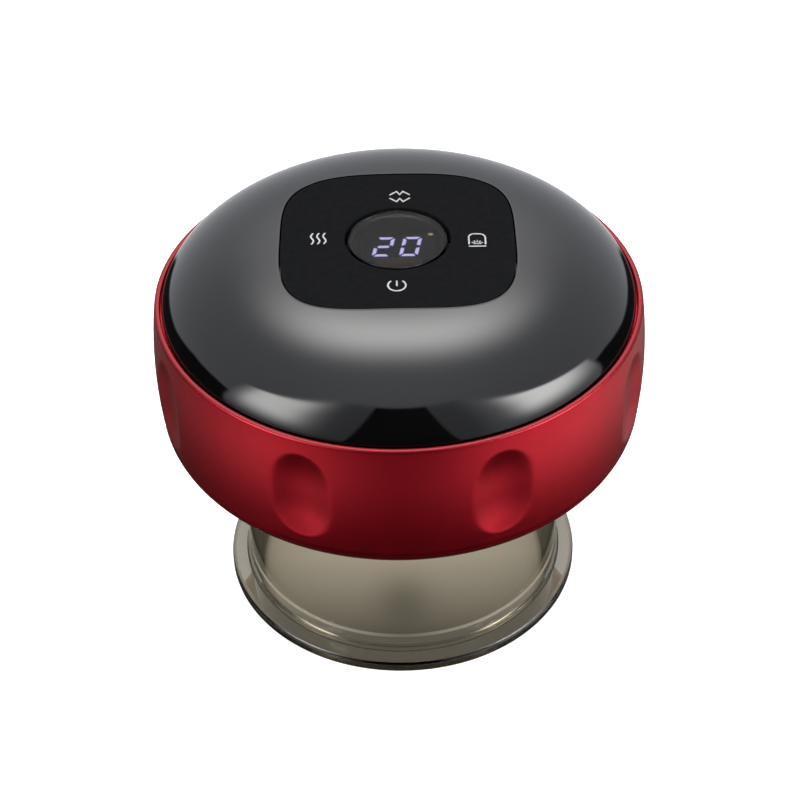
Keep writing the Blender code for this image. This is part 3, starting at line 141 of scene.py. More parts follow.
# %% Outlines with round corners
def rounded(corners, steps=5):
    """Each corner (a, b, radius) becomes an arc that touches both of its sides; (a, b) stays sharp."""
    spots = np.array([corner[:2] for corner in corners], float)
    runs = []
    for spot, before, after, corner in zip(spots, np.roll(spots, 1, 0), np.roll(spots, -1, 0), corners):
        radius = corner[2] if len(corner) > 2 else 0
        if not radius:
            runs.append(spot[None])
            continue
        back = (before - spot) / np.linalg.norm(before - spot)
        ahead = (after - spot) / np.linalg.norm(after - spot)
        half = np.arccos(np.clip(back @ ahead, -1, 1)) / 2
        middle = spot + (back + ahead) / np.linalg.norm(back + ahead) * radius / np.sin(half)
        start, end = (spot + side * radius / np.tan(half) - middle for side in (back, ahead))
        sweep, share = PI - 2 * half, np.linspace(0, 1, steps + 1)[:, None]
        arc = np.sin((1 - share) * sweep) * start + np.sin(share * sweep) * end
        runs.append(middle + arc / np.sin(sweep))
    return np.concatenate(runs)


def swept_round(radius, height, turn):
    """Points at (radius cos turn, radius sin turn, height), for arrays of rows by columns."""
    radius, height, turn = np.broadcast_arrays(radius, height, turn)
    return np.stack((radius * np.cos(turn), radius * np.sin(turn), height), axis=-1)


def columns_round(count):
    """Evenly spaced angles once round, as one row."""
    return np.arange(count)[None] * 2 * PI / count


def turned(corners, columns=192, steps=5):
    """A shell: the outline of (radius, height) corners, carried round the upright axis."""
    outline = rounded(corners, steps)
    on_axis = outline[0, 0] == 0 and outline[-1, 0] == 0
    return swept_round(outline[:, :1], outline[:, 1:], columns_round(columns)), not on_axis


def slab(outline, low, high):
    """A shell: an outline of points (x, y), raised from low to high and closed to its middle."""
    outline = np.asarray(outline, float)
    middle = np.repeat(outline.mean(0, keepdims=True), len(outline), 0)
    rows = [np.c_[flat, np.full(len(flat), height)]
            for flat, height in ((middle, low), (outline, low), (outline, high), (middle, high))]
    return np.array(rows), False


# %% [markdown]
# ## Finishes are written as patterns
#
# A finish is a Principled shader whose even values stand on its own sockets, and whose uneven ones come from
# patterns: the speckle of metal flake, the fine pits that spark erosion leaves in a mould, the ripple of
# lacquer. All patterns read object coordinates, in metres, so a scale of 1000 gives grains of about a
# millimetre. Four small helpers are enough: a pattern, a colour, a roughness and a relief that follow it.

# %% Helpers for finishes
def finish(name, colour, roughness, metallic=0.0, **sockets):
    """A Principled finish; each further keyword is a socket, with _ for a space."""
    material = bpy.data.materials.new(name)
    material.use_nodes = True
    shader = material.node_tree.nodes["Principled BSDF"]
    shader.inputs["Base Color"].default_value = (*colour, 1)
    shader.inputs["Roughness"].default_value = roughness
    shader.inputs["Metallic"].default_value = metallic
    for socket, value in sockets.items():
        shader.inputs[socket.replace("_", " ")].default_value = value
    return material


def pattern(material, kind, scale, stretch=(1, 1, 1), output=0, **settings):
    """The output of a texture node that reads the piece's object coordinates, stretched by three factors."""
    nodes, links = material.node_tree.nodes, material.node_tree.links
    place, turn = nodes.new("ShaderNodeTexCoord"), nodes.new("ShaderNodeMapping")
    grain = nodes.new(f"ShaderNodeTex{kind}")
    turn.inputs["Scale"].default_value = stretch
    grain.inputs["Scale"].default_value = scale
    for socket, value in settings.items():
        grain.inputs[socket].default_value = value
    links.new(place.outputs["Object"], turn.inputs["Vector"])
    links.new(turn.outputs["Vector"], grain.inputs["Vector"])
    return grain.outputs[output]


def colour_by(material, grain, dark, light, low=0.35, high=0.65):
    """Base colour runs from dark to light while the pattern runs from low to high."""
    ramp = material.node_tree.nodes.new("ShaderNodeValToRGB")
    for stop, place, colour in zip(ramp.color_ramp.elements, (low, high), (dark, light)):
        stop.position, stop.color = place, (*colour, 1)
    shader = material.node_tree.nodes["Principled BSDF"]
    material.node_tree.links.new(grain, ramp.inputs["Fac"])
    material.node_tree.links.new(ramp.outputs["Color"], shader.inputs["Base Color"])


def roughness_by(material, grain, smooth, rough, low=0.35, high=0.65):
    """Roughness runs from smooth to rough while the pattern runs from low to high."""
    scale = material.node_tree.nodes.new("ShaderNodeMapRange")
    for socket, value in zip(("From Min", "From Max", "To Min", "To Max"), (low, high, smooth, rough)):
        scale.inputs[socket].default_value = value
    shader = material.node_tree.nodes["Principled BSDF"]
    material.node_tree.links.new(grain, scale.inputs["Value"])
    material.node_tree.links.new(scale.outputs["Result"], shader.inputs["Roughness"])


def relief_by(material, grain, height):
    """The pattern stands out by height, in mm, on top of any relief that is there already."""
    bump = material.node_tree.nodes.new("ShaderNodeBump")
    bump.inputs["Strength"].default_value = 1
    bump.inputs["Distance"].default_value = height * MM
    normal = material.node_tree.nodes["Principled BSDF"].inputs["Normal"]
    if normal.links:
        material.node_tree.links.new(normal.links[0].from_socket, bump.inputs["Normal"])
    material.node_tree.links.new(grain, bump.inputs["Height"])
    material.node_tree.links.new(bump.outputs["Normal"], normal)


# %% [markdown]
# ## The red grip ring
#
# The ring is a moulded shell, sprayed with a satin red that has fine metal flake in it, so it shows broad
# soft lights and no mirror images. The flake is a cell pattern: each cell, a tenth of a millimetre wide, has
# its own brightness and leans a little its own way. Over it lies a thin clear coat with a slow ripple. A
# matting agent takes most of the coat's mirror away, which a low index of refraction stands for. On the lip
# the red is rougher and darker, so the lip gets a second mix of it: its darker colour is painted shade that
# dims the bright line of light along the lip.

# %% Satin red metallic
FLAKE_DARK, FLAKE_LIGHT = np.array((0.40, 0.0062, 0.0165)), np.array((0.49, 0.0085, 0.021))


def red_metallic(name, strength, smooth, rough, **coat):
    """Flakes of a strength times two reds, their roughness from smooth to rough, under a clear coat."""
    dark, light = strength * FLAKE_DARK, strength * FLAKE_LIGHT
    material = finish(name, light, smooth, 0.97, Specular_Tint=(1, 0.5, 0.5, 1), **coat)
    flake = pattern(material, "Voronoi", 9000, output=1)
    cloud = pattern(material, "Noise", 260, Detail=4)
    colour_by(material, flake, dark, light, 0.1, 0.9)
    roughness_by(material, cloud, smooth, rough)
    relief_by(material, flake, 0.0006)
    relief_by(material, cloud, 0.003)
    return material


red = red_metallic("satin_red_metallic", 0.9, 0.345, 0.385, Coat_Weight=1.0, Coat_IOR=1.165,
                   Coat_Roughness=0.30)
# A darker, rougher copy of the red for the lip: its darker colour is painted shade that dims the lip's
# highlight.
lip_shaded_red = red_metallic("worn_lip_red", 0.48, 0.42, 0.48, Coat_Weight=0.5, Coat_Roughness=0.24)
print("reds:", red.name, "and", lip_shaded_red.name)

# %% [markdown]
# The ring's outer face bulges like a barrel: its radius is largest a bit above the middle and falls off
# with the square of the distance from there. Eight shallow hollows take the fingers. Each is a bowl whose
# depth is (1 - a^2 - |u|^2.8)^1.2, with a across and u up, both 1 at the hollow's edge: round across, and
# nearly straight up and down for most of its height, with a soft but clear edge. The section goes on round
# the lower corner, where a fine groove marks the joint of the two shells, along the ledges inside, and back
# to the rounded lip. The columns crowd towards the hollows, so that their edges get enough faces.

# %% Shape of the ring
ring_low, ring_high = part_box("grip_ring")
RIM, FOOT = ring_high.z / MM, ring_low.z / MM
BELLY, CROWN, BELLY_Z = 49.35, 1.05, FOOT + 0.533 * (RIM - FOOT)
WALL, SEAM, OPENING, CORNER_RISE = 2.2, 47.2, 42.3, 6.0
CORNER_TOP = FOOT + CORNER_RISE
GROOVE_DEPTH, GROOVE_SHARE, GROOVE_WIDTH = 0.045, 0.185, 0.009
HOLLOWS, HOLLOW_DEPTH, HOLLOW_HALF_WIDTH, HOLLOW_HALF_HEIGHT, HOLLOW_RISE = 8, 1.3, 6.1, 10.1, 1.1
CROWDING = 0.6


def barrel(height):
    """Radius of the ring: the largest one less the crown times the squared share of the way to the rim."""
    return BELLY - CROWN * ((height - BELLY_Z) / (RIM - BELLY_Z)) ** 2


def corner_run(share):
    """Quarter of an ellipse from the barrel's foot in to the opening, with the joint's groove in it."""
    groove = GROOVE_DEPTH * np.exp(-((share - GROOVE_SHARE) / GROOVE_WIDTH) ** 2)
    radius = OPENING + (barrel(CORNER_TOP) - OPENING - groove) * np.cos(share * PI / 2)
    return np.c_[radius, CORNER_TOP - CORNER_RISE * np.sin(share * PI / 2)]


def hollows(turn, height):
    """Depth of the hollows, and the columns' angles, each less a sine of its offset from a hollow."""
    pitch = 2 * PI / HOLLOWS
    offset = (turn + PI / 2) % pitch - pitch / 2
    crowded = offset - CROWDING * np.sin(offset * HOLLOWS) / HOLLOWS
    across = crowded * BELLY / HOLLOW_HALF_WIDTH
    up = (height - BELLY_Z - HOLLOW_RISE) / HOLLOW_HALF_HEIGHT
    bowl = np.clip(1 - across ** 2 - np.abs(up) ** 2.8, 0, None) ** 1.2
    return HOLLOW_DEPTH * bowl, turn + crowded - offset


LIP_STEPS = 8
lip = rounded([(barrel(RIM - 1), RIM - 1), (barrel(RIM), RIM, 0.55), (SEAM, RIM, 0.3), (SEAM, RIM - 1.5)],
              LIP_STEPS)[1:-1][::-1]
outer_face = np.linspace(RIM - 0.8, CORNER_TOP, 72)
inner_face = np.linspace(CORNER_TOP, RIM - 5.5, 24)
corner_shares = np.unique(np.r_[np.linspace(0, 1, 15)[1:], np.linspace(0.155, 0.215, 17)])
ring_outline = np.concatenate((
    lip[-LIP_STEPS - 1:], np.c_[barrel(outer_face), outer_face], corner_run(corner_shares),
    rounded([(OPENING, FOOT + 0.4), (OPENING, FOOT + 2.8), (OPENING - 1.3, FOOT + 2.8),
             (OPENING - 1.3, FOOT + 4.8), (barrel(CORNER_TOP) - 2 * WALL, FOOT + 4.8)]),
    np.c_[barrel(inner_face) - WALL, inner_face],
    np.array([(SEAM - 1.6, RIM - 3.9), (SEAM - 1.6, RIM - 1.5), (SEAM, RIM - 1.5)]), lip[:-LIP_STEPS - 1],
))
pressed, crowded_turn = hollows(columns_round(480), ring_outline[:, 1:])
on_wall = ((ring_outline[:, 0] > barrel(ring_outline[:, 1]) - WALL - 0.01)
           & (ring_outline[:, 1] > CORNER_TOP - 0.01))
ring_radius = ring_outline[:, :1] - pressed * on_wall[:, None]
grip = piece("grip_shell", [(swept_round(ring_radius, ring_outline[:, 1:], crowded_turn), True)], red,
             "housing", ["grip_ring"])

# %% [markdown]
# The charging port goes through the wall at the rear. A plug-shaped block with a flared outer end is taken
# away from the ring by a Boolean, so the opening gets a rounded edge, and the block itself is removed.
# The flare follows the barrel's curve: each ring of the block is set back from the wall by the same amount.
# The cut makes the ring's faces anew, so only now do those on top of the lip get the darker mix of the red,
# whose darker colour is painted shade on the lip's highlight.

# %% Opening for the charging port
PORT_Z, PORT_WIDTH, PORT_HEIGHT, PORT_EDGE, PORT_REACH = 54.0, 11.3, 5.6, 0.7, 6.0
PILL_POINTS = 48


def pill(width, height):
    """A bar with half-round ends, as points (across, up): r cos t, shifted out by half the straight part."""
    angle = (np.arange(PILL_POINTS) + 0.5) * 2 * PI / PILL_POINTS
    end = height / 2
    return np.c_[(width / 2 - end) * np.sign(np.cos(angle)) + end * np.cos(angle), end * np.sin(angle)]


def capped(rows):
    """A shell: a grid whose first and last rows are closed by a row at their own middle."""
    ends = np.repeat(rows[[0, -1]].mean(1, keepdims=True), rows.shape[1], 1)
    return np.concatenate((ends[:1], rows, ends[1:])), False


def take_away(item, shells):
    """Cut shells out of a piece and remove the cutter."""
    cutter = bpy.data.objects.new("cutter", mesh_of("cutter", shells))
    bpy.context.scene.collection.objects.link(cutter)
    change = item.modifiers.new("Cut", "BOOLEAN")
    change.operation, change.solver, change.object = "DIFFERENCE", "EXACT", cutter
    bpy.context.view_layer.update()
    evaluated = item.evaluated_get(bpy.context.evaluated_depsgraph_get())
    item.data = cleaned(bpy.data.meshes.new_from_object(evaluated))
    item.modifiers.remove(change)
    bpy.data.objects.remove(cutter)
    print(f"{item.name} after the cut: {len(item.data.polygons)} faces")


flare = np.linspace(0, PI / 2, 7)
depths = np.r_[-1.0, PORT_EDGE * (1 - np.cos(flare)), PORT_REACH]
growths = np.r_[PORT_EDGE, PORT_EDGE * (1 - np.sin(flare)), 0.0]
port_rings = []
for depth, growth in zip(depths, growths):
    across, up = pill(PORT_WIDTH + 2 * growth, PORT_HEIGHT + 2 * growth).T
    port_rings.append(np.c_[across, np.sqrt(barrel(PORT_Z) ** 2 - across ** 2) - depth, up + PORT_Z])
take_away(grip, [capped(np.array(port_rings))])
# The faces on top of the lip get the darker copy of the red: painted shade on the lip's highlight.
grip.data.materials.append(lip_shaded_red)
face_middles = np.empty(len(grip.data.polygons) * 3)
grip.data.polygons.foreach_get("center", face_middles)
lip_shade_faces = face_middles[2::3] > (RIM - 0.2) * MM
grip.data.polygons.foreach_set("material_index", lip_shade_faces.astype(int))
print("lip:", lip_shade_faces.sum(), "faces")

# %% [markdown]
# ## The gloss dome
#
# The cover is piano black: a dark plastic with a polished surface, so its colour comes almost wholly from
# what it mirrors. Two things keep it from looking like a computed ball. The lacquer has a very slow, very
# low ripple, and its polish is uneven by a few hundredths, with the finest hairlines from a cloth.

# %% Piano black
gloss = finish("piano_black", (0.0035, 0.0035, 0.004), 0.05, 0.0, IOR=1.5, Specular_IOR_Level=0.55)
haze = pattern(gloss, "Noise", 420, Detail=8)
colour_by(gloss, pattern(gloss, "Noise", 90), (0.0010, 0.0010, 0.0012), (0.0016, 0.0016, 0.0018))
roughness_by(gloss, haze, 0.025, 0.06)
relief_by(gloss, pattern(gloss, "Noise", 55), 0.0022)
relief_by(gloss, pattern(gloss, "Noise", 2600, (1, 7, 1), Detail=3), 0.00008)

# %% [markdown]
# The dome's height over a radius is rise * (1 - (r / R)^4)^0.714: nearly flat in the middle, then round at
# the shoulder. In its middle is a sunk pan for the key plate, whose outline is a superellipse, a square with
# bulging sides: |x / a|^3.7 + |(y - s) / b|^3.7 = 1, a touch wider than deep. Its radius is worked out for
# each angle, so one section can be carried round, with each column a little longer or shorter than its
# neighbour. The section runs over the dome, down into the pan, and back under both, two millimetres lower.

# %% Shape of the cover
COVER_RADIUS, RISE, SQUARENESS, COVER_WALL = 46.9, 12.8, 3.7, 2.0
COVER_INSIDE, COVER_FOOT_INSIDE = 43.0, 44.8
OPENING_HALF_WIDTH, OPENING_HALF_DEPTH, OPENING_SHIFT, PLATE_GAP = 23.0, 22.55, 0.6, 0.25
PAN_FLOOR, PAN_UNDER, PAN_WALL, PAN_EDGE, HOLE = RIM + 8.4, RIM + 7.0, 2.2, 0.05, 10.45
KEY_CIRCLE, NUB_HOLE = 15.0, 2.6


def dome(radius, inset=0.0):
    """Rim + (rise - inset) * (1 - (radius / (R - inset))^4)^0.714."""
    reach = np.clip(radius / (COVER_RADIUS - inset), 0, 1)
    return RIM + (RISE - inset) * (1 - reach ** 4) ** 0.714


def panel(turn, grow=0.0):
    """Radius at which a ray at an angle meets the superellipse, by halving an interval 40 times."""
    low, high = np.zeros_like(turn), np.full_like(turn, 60.0)
    for _ in range(40):
        middle = (low + high) / 2
        across = np.abs(middle * np.cos(turn)) / (OPENING_HALF_WIDTH + grow)
        up = np.abs(middle * np.sin(turn) - OPENING_SHIFT) / (OPENING_HALF_DEPTH + grow)
        outside = across ** SQUARENESS + up ** SQUARENESS > 1
        low, high = np.where(outside, low, middle), np.where(outside, middle, high)
    return low


def spread(first, last, shares):
    """Rows between two radii, which may change from column to column."""
    return first + (last - first) * np.reshape(shares, (-1, 1))


def edge_arc(radius, height, reach, steps=5):
    """Rows of a quarter round that starts level at (radius + reach, height) and ends upright at radius."""
    sweep = np.linspace(0, PI / 2, steps + 1)[:, None]
    return radius + reach * (1 - np.sin(sweep)), height - abs(reach) * (1 - np.cos(sweep))


def stack(turn, *blocks):
    """One grid from blocks of rows; a row is a radius and a height, each one number or one per column."""
    rows = [np.broadcast_arrays(radius, height, turn[0])[:2] for block in blocks for radius, height in block]
    grid = np.array(rows)
    return swept_round(grid[:, 0], grid[:, 1], turn)


cover_turn = columns_round(400)
pan, pan_outside = panel(cover_turn), panel(cover_turn, PAN_WALL)
dome_rows = spread(pan + PAN_EDGE, COVER_RADIUS, np.sin(np.linspace(0, PI / 2, 72))[::-1])
under_rows = spread(pan_outside, COVER_INSIDE, np.linspace(0, 1, 16))
floor_rows = spread(pan, HOLE + PAN_EDGE, (0, 1 / 3, 2 / 3, 1))
cover_grid = stack(
    cover_turn,
    [(COVER_RADIUS, RIM - 1.2), (COVER_RADIUS, RIM - 0.4)],
    zip(dome_rows, dome(dome_rows)),
    zip(*edge_arc(pan, dome(pan + PAN_EDGE), PAN_EDGE)),
    zip(floor_rows, np.full(4, PAN_FLOOR)),
    [(HOLE + PAN_EDGE, PAN_UNDER), (pan_outside[0], PAN_UNDER)],
    zip(under_rows, dome(under_rows, COVER_WALL)),
    [(COVER_INSIDE, RIM - 3.4), (COVER_FOOT_INSIDE, RIM - 3.4), (COVER_FOOT_INSIDE, RIM - 1.2)],
)
cover = piece("dome_cover", [(cover_grid, True)], gloss, "housing", ["top_cover"])
key_spots = KEY_CIRCLE * np.array([(1, 0), (0, 1), (-1, 0), (0, -1)])
disc = np.c_[np.cos(cover_turn[0, ::10]), np.sin(cover_turn[0, ::10])]
take_away(cover, [slab(disc * NUB_HOLE + spot, PAN_UNDER - 1, PAN_FLOOR + 1) for spot in key_spots])

# %% [markdown]
# Four bosses under the dome take the screws of the base. They don't show while the head is closed, but the
# screws would otherwise hang in the air when the parts are drawn apart.

# %% Screw bosses
inside_black = finish("black_moulding_inside", (0.02, 0.02, 0.021), 0.5)
roughness_by(inside_black, pattern(inside_black, "Noise", 900), 0.42, 0.6)
BOSS_CIRCLE, BOSS_RADIUS, BOSS_BORE = 37.5, 3.0, 1.1
boss_turn = PI / 4 + np.arange(4) * PI / 2
boss_spots = BOSS_CIRCLE * np.c_[np.cos(boss_turn), np.sin(boss_turn)]
boss_grid, _ = turned([(0, FOOT + 14.5), (BOSS_BORE, FOOT + 14.5), (BOSS_BORE, FOOT + 2.8),
                       (BOSS_RADIUS, FOOT + 2.8), (BOSS_RADIUS, FOOT + 36.4), (0, FOOT + 36.4)], 48)
piece("screw_bosses", [(boss_grid + (*spot, 0), False) for spot in boss_spots], inside_black, "housing")

# %% [markdown]
# ## The matt key plate and its icons
#
# The plate that carries the keys follows the dome, a tenth of a millimetre lower, and stands free in its pan
# so that it can rock to four sides. A thin skirt round its hole keeps light out of the gap beside the lens.
# Its mould was spark eroded: the surface is covered in fine round pits that scatter the light, which is why
# it stays dark and even where the dome around it mirrors the studio. Its own mirror is switched off.

# %% Key plate
matt = finish("spark_eroded_black", (0.0076, 0.0078, 0.0082), 0.62, 0.0, Specular_IOR_Level=0.0)
pits = pattern(matt, "Noise", 5200, Detail=3)
colour_by(matt, pattern(matt, "Noise", 700, Detail=6), (0.0070, 0.0072, 0.0076), (0.0084, 0.0086, 0.0090))
roughness_by(matt, pits, 0.56, 0.68)
relief_by(matt, pits, 0.006)

PLATE_DROP, PLATE_UNDER, PLATE_EDGE, SKIRT, SKIRT_FOOT = 0.1, 1.9, 0.1, 0.12, PAN_FLOOR + 0.4
plate_edge, hole_edge = panel(cover_turn, -PLATE_GAP), HOLE - SKIRT
hole_arc = edge_arc(hole_edge, dome(hole_edge + PLATE_EDGE) - PLATE_DROP, PLATE_EDGE)
top_rows = spread(hole_edge + PLATE_EDGE, plate_edge - PLATE_EDGE, np.linspace(0, 1, 40)[1:])
low_rows = spread(plate_edge, HOLE, np.linspace(0, 1, 12))
plate_grid = stack(
    cover_turn,
    zip(top_rows, dome(top_rows) - PLATE_DROP),
    zip(*edge_arc(plate_edge, dome(plate_edge - PLATE_EDGE) - PLATE_DROP, -PLATE_EDGE)),
    zip(low_rows, dome(low_rows) - PLATE_UNDER),
    [(HOLE, SKIRT_FOOT), (hole_edge, SKIRT_FOOT)],
    zip(hole_arc[0][::-1], hole_arc[1][::-1]),
)
piece("key_plate_fine", [(plate_grid, True)], matt, "key_plate_body", ["key_plate"])

# %% [markdown]
# The four icons are pad printed: a soft stamp lays a film of white ink on the curved plate, so their lines
# are all one width with round ends, and they follow the surface. Each stroke here is a path, with its two
# sides half a width off it. Every point is then laid on the dome's height. The ink is a bit grey and
# uneven, as it is never quite thick enough to hide black.

# %% Icons
ink = finish("white_pad_ink", (0.36, 0.36, 0.355), 0.55)
colour_by(ink, pattern(ink, "Noise", 3500, Detail=5), (0.31, 0.31, 0.305), (0.42, 0.42, 0.41))
relief_by(ink, pattern(ink, "Noise", 6000), 0.002)


def unit(vectors):
    """Each vector divided by its own length."""
    return vectors / np.linalg.norm(vectors, axis=-1, keepdims=True)


INK_LOW, INK_HIGH, INK_WIDTH, FINE_WIDTH, ROUND_STEPS = -0.16, -0.075, 0.32, 0.2, 5


def stroke(path, width):
    """A pen stroke on the plate: sides half a width off the path, half circles at its two ends."""
    path, half = np.array(path, float), width / 2
    sweep = np.linspace(0, PI / 2, ROUND_STEPS + 1)[1:, None]
    back, ahead = unit(path[0] - path[1]), unit(path[-1] - path[-2])
    ends = (path[0] + back * np.sin(sweep[::-1]) * half, path[-1] + ahead * np.sin(sweep) * half)
    narrow = np.cos(sweep[:, 0])
    steps = unit(np.diff(path, axis=0))
    before, after = np.vstack((steps[:1], steps)), np.vstack((steps, steps[-1:]))
    along = unit(before + after)
    mitre = 1 / np.clip(np.sum(along * before, axis=1), 0.6, 1)
    along = np.concatenate((np.repeat(steps[:1], ROUND_STEPS, 0), along,
                            np.repeat(steps[-1:], ROUND_STEPS, 0)))
    reach = half * np.concatenate((narrow[::-1], mitre, narrow))[:, None]
    path = np.concatenate((ends[0], path, ends[1]))
    aside = np.c_[-along[:, 1], along[:, 0]] * reach
    left, right = path + aside, path - aside
    sides = np.stack((left, right, right, left), axis=1)
    height = dome(np.linalg.norm(sides, axis=2)) + np.array([INK_HIGH, INK_HIGH, INK_LOW, INK_LOW])
    return np.concatenate((sides, height[..., None]), axis=2), False


def arc_path(middle, radius, first, last, count=40):
    """Points on part of a circle, from one angle to another in degrees."""
    angle = np.radians(np.linspace(first, last, count))[:, None]
    return np.array(middle) + radius * np.hstack((np.cos(angle), np.sin(angle)))


zigzag = np.array([(-1.92, 0), (-0.64, 1.2), (0, 0.05), (0.64, 1.2), (1.92, 0)])
rise = np.linspace(-1, 1, 40)
wave = np.c_[-0.27 * np.sin(rise * PI * 1.08), rise * 1.72]
roof = np.concatenate(([(-1.6, -1.7), (-1.6, -0.2)], arc_path((-0.45, 0.5), 1.15, 180, 90, 10),
                       arc_path((0.45, 0.5), 1.15, 90, 0, 10), [(1.6, -0.2), (1.6, -1.7)]))
ray_ends = [arc_path((0, -1.5), radius, 158, 22, 5) for radius in (0.55, 1.1)]
icons = {
    "icon_mode": [(zigzag + (0.58, 14.95), INK_WIDTH), (zigzag * (1, -1) + (0.58, 13.65), INK_WIDTH)],
    "icon_heat": [(wave + (x, 0.35), INK_WIDTH) for x in (-16.6, -15.4, -14.2)],
    "icon_suction": [(roof + (15.4, -0.62), INK_WIDTH), ([(13.85, -3.12), (16.95, -3.02)], INK_WIDTH),
                     ([(14.75, -2.28), (16.05, -2.24)], FINE_WIDTH)]
    + [(np.array(ray) + (15.4, -0.75), FINE_WIDTH) for ray in zip(*ray_ends)],
    "icon_power": [(arc_path((-0.3, -15.2), 1.68, 134, 406), INK_WIDTH),
                   ([(-0.3, -13.95), (-0.3, -15.3)], INK_WIDTH)],
}
for name, strokes in icons.items():
    piece(name, [stroke(path, width) for path, width in strokes], ink, "key_plate_body")

# %% [markdown]
# ## Lens and digits
#
# The lens is a smoke-tinted disc over a two-digit lamp block. It hides the dark face of the block and lets
# only the lit bars through. Its tint sits in the plastic's volume, as in the real one, so the thicker the
# way through it, the darker it gets. An anti-glare film keeps the lamps from mirroring in it, which a low
# index of refraction and a dark specular tint stand for. Under it, collar and lamp block are a smooth dull
# black, so that nothing draws the eye from the lit bars.

# %% Lens and collar
def tint_inside(material, colour, density):
    """Of each part of the light, exp(-(1 - colour) * density * metres) is left on its way through."""
    nodes, links = material.node_tree.nodes, material.node_tree.links
    tint = nodes.new("ShaderNodeVolumeAbsorption")
    tint.inputs["Color"].default_value, tint.inputs["Density"].default_value = (*colour, 1), density
    links.new(tint.outputs["Volume"], nodes["Material Output"].inputs["Volume"])


lens_finish = finish("smoke_lens", (1, 1, 1), 0.02, 0.0, IOR=1.22, Transmission_Weight=1.0,
                     Specular_Tint=(0.25, 0.25, 0.25, 1))
tint_inside(lens_finish, (0.34, 0.33, 0.36), 620)
relief_by(lens_finish, pattern(lens_finish, "Noise", 120), 0.0006)
roughness_by(lens_finish, pattern(lens_finish, "Noise", 260, Detail=2), 0.0, 0.012)
LENS_TOP, LENS_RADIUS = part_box("display_lens")[1].z / MM, 9.6
LENS_FOOT = LENS_TOP - 1.2
piece("lens_fine", [turned([(0, LENS_FOOT), (LENS_RADIUS, LENS_FOOT, 0.15), (LENS_RADIUS, LENS_TOP, 0.12),
                            (0, LENS_TOP)], 256)],
      lens_finish, "housing", ["display_lens"], even=True)

# %% Moulded black, lamp block and collar
black = finish("moulded_black", (0.016, 0.016, 0.017), 0.5)
texture = pattern(black, "Noise", 3400, Detail=4)
colour_by(black, pattern(black, "Noise", 350, Detail=6), (0.013, 0.013, 0.014), (0.021, 0.021, 0.022))
roughness_by(black, texture, 0.42, 0.6)
relief_by(black, texture, 0.008)
potting = finish("lamp_block_black", (0.006, 0.006, 0.007), 0.5, Specular_IOR_Level=0.03)
roughness_by(potting, pattern(potting, "Noise", 200, Detail=2), 0.45, 0.6)
colour_by(potting, pattern(potting, "Noise", 100), (0.005, 0.005, 0.006), (0.007, 0.007, 0.008))
relief_by(potting, pattern(potting, "Noise", 150), 0.001)
COLLAR_FOOT, MODULE_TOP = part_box("lens_holder")[0].z / MM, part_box("display_module")[1].z / MM
COLLAR_INSIDE, COLLAR_OUTSIDE, COLLAR_FLANGE, COLLAR_TOP = 8.9, 9.9, 10.5, LENS_FOOT - 0.3
piece("lens_collar", [turned([
    (COLLAR_INSIDE, COLLAR_FOOT), (COLLAR_FLANGE, COLLAR_FOOT, 0.2), (COLLAR_FLANGE, COLLAR_FOOT + 1.2, 0.2),
    (COLLAR_OUTSIDE, COLLAR_FOOT + 1.2), (COLLAR_OUTSIDE, COLLAR_TOP, 0.05),
    (COLLAR_INSIDE, COLLAR_TOP, 0.05),
], 128)], potting, "housing", ["lens_holder"], even=True)

# %% [markdown]
# Each digit has seven bars, cut at an angle where they meet and leaning to the right by 0.17 of their
# height. One upright bar and one level bar are drawn as corners, and the others are mirror images of them.
# A shallow violet glow lies round each bar, in the diffusing film.

# %% Digits
CELL_HALF, CELL_RISE, LEAN = 1.78, 3.1, 0.17
BAR, FLAT, GAP, TIP, BAR_CORNER, GLOW_REACH = 0.62, 0.6, 0.34, 0.25, 0.1, 0.14
upper_right = [(CELL_HALF, CELL_RISE - GAP), (CELL_HALF, GAP), (CELL_HALF - BAR, FLAT / 2 + GAP),
               (CELL_HALF - BAR, CELL_RISE - FLAT - GAP)]
top_bar = [(GAP - CELL_HALF, CELL_RISE), (CELL_HALF - GAP, CELL_RISE),
           (CELL_HALF - GAP - FLAT, CELL_RISE - FLAT), (FLAT + GAP - CELL_HALF, CELL_RISE - FLAT)]
tip = CELL_HALF - GAP - BAR / 2
middle_bar = [(-tip, 0), (TIP - tip, FLAT / 2), (tip - TIP, FLAT / 2),
              (tip, 0), (tip - TIP, -FLAT / 2), (TIP - tip, -FLAT / 2)]
bars = {"top": (top_bar, 1, 1), "bottom": (top_bar, 1, -1), "middle": (middle_bar, 1, 1),
        "right_up": (upper_right, 1, 1), "right_down": (upper_right, 1, -1),
        "left_up": (upper_right, -1, 1), "left_down": (upper_right, -1, -1)}


def lit_bars(names, middle, grow, low, high):
    """Slabs for the named bars of one digit, each grown by a margin, then x plus lean times y."""
    shells = []
    for name in names.split():
        corners, flip_x, flip_y = bars[name]
        corners = np.array(corners) * (flip_x, flip_y)
        heart = corners.mean(0)
        corners = heart + (corners - heart) * (1 + grow / np.abs(corners - heart).max(0))
        bar = rounded([(*corner, BAR_CORNER) for corner in corners], 3)
        bar = bar + np.c_[bar[:, 1] * LEAN + middle, np.zeros(len(bar))]
        shells.append(slab(bar, low, high))
    return shells


def lamp(name, colour, strength):
    """A lit film: dark plastic that gives off light, a little unevenly."""
    material = finish(name, (0.02, 0.02, 0.03), 0.4, Emission_Strength=strength)
    material.node_tree.nodes["Principled BSDF"].inputs["Emission Color"].default_value = (*colour, 1)
    relief_by(material, pattern(material, "Noise", 2000), 0.003)
    return material


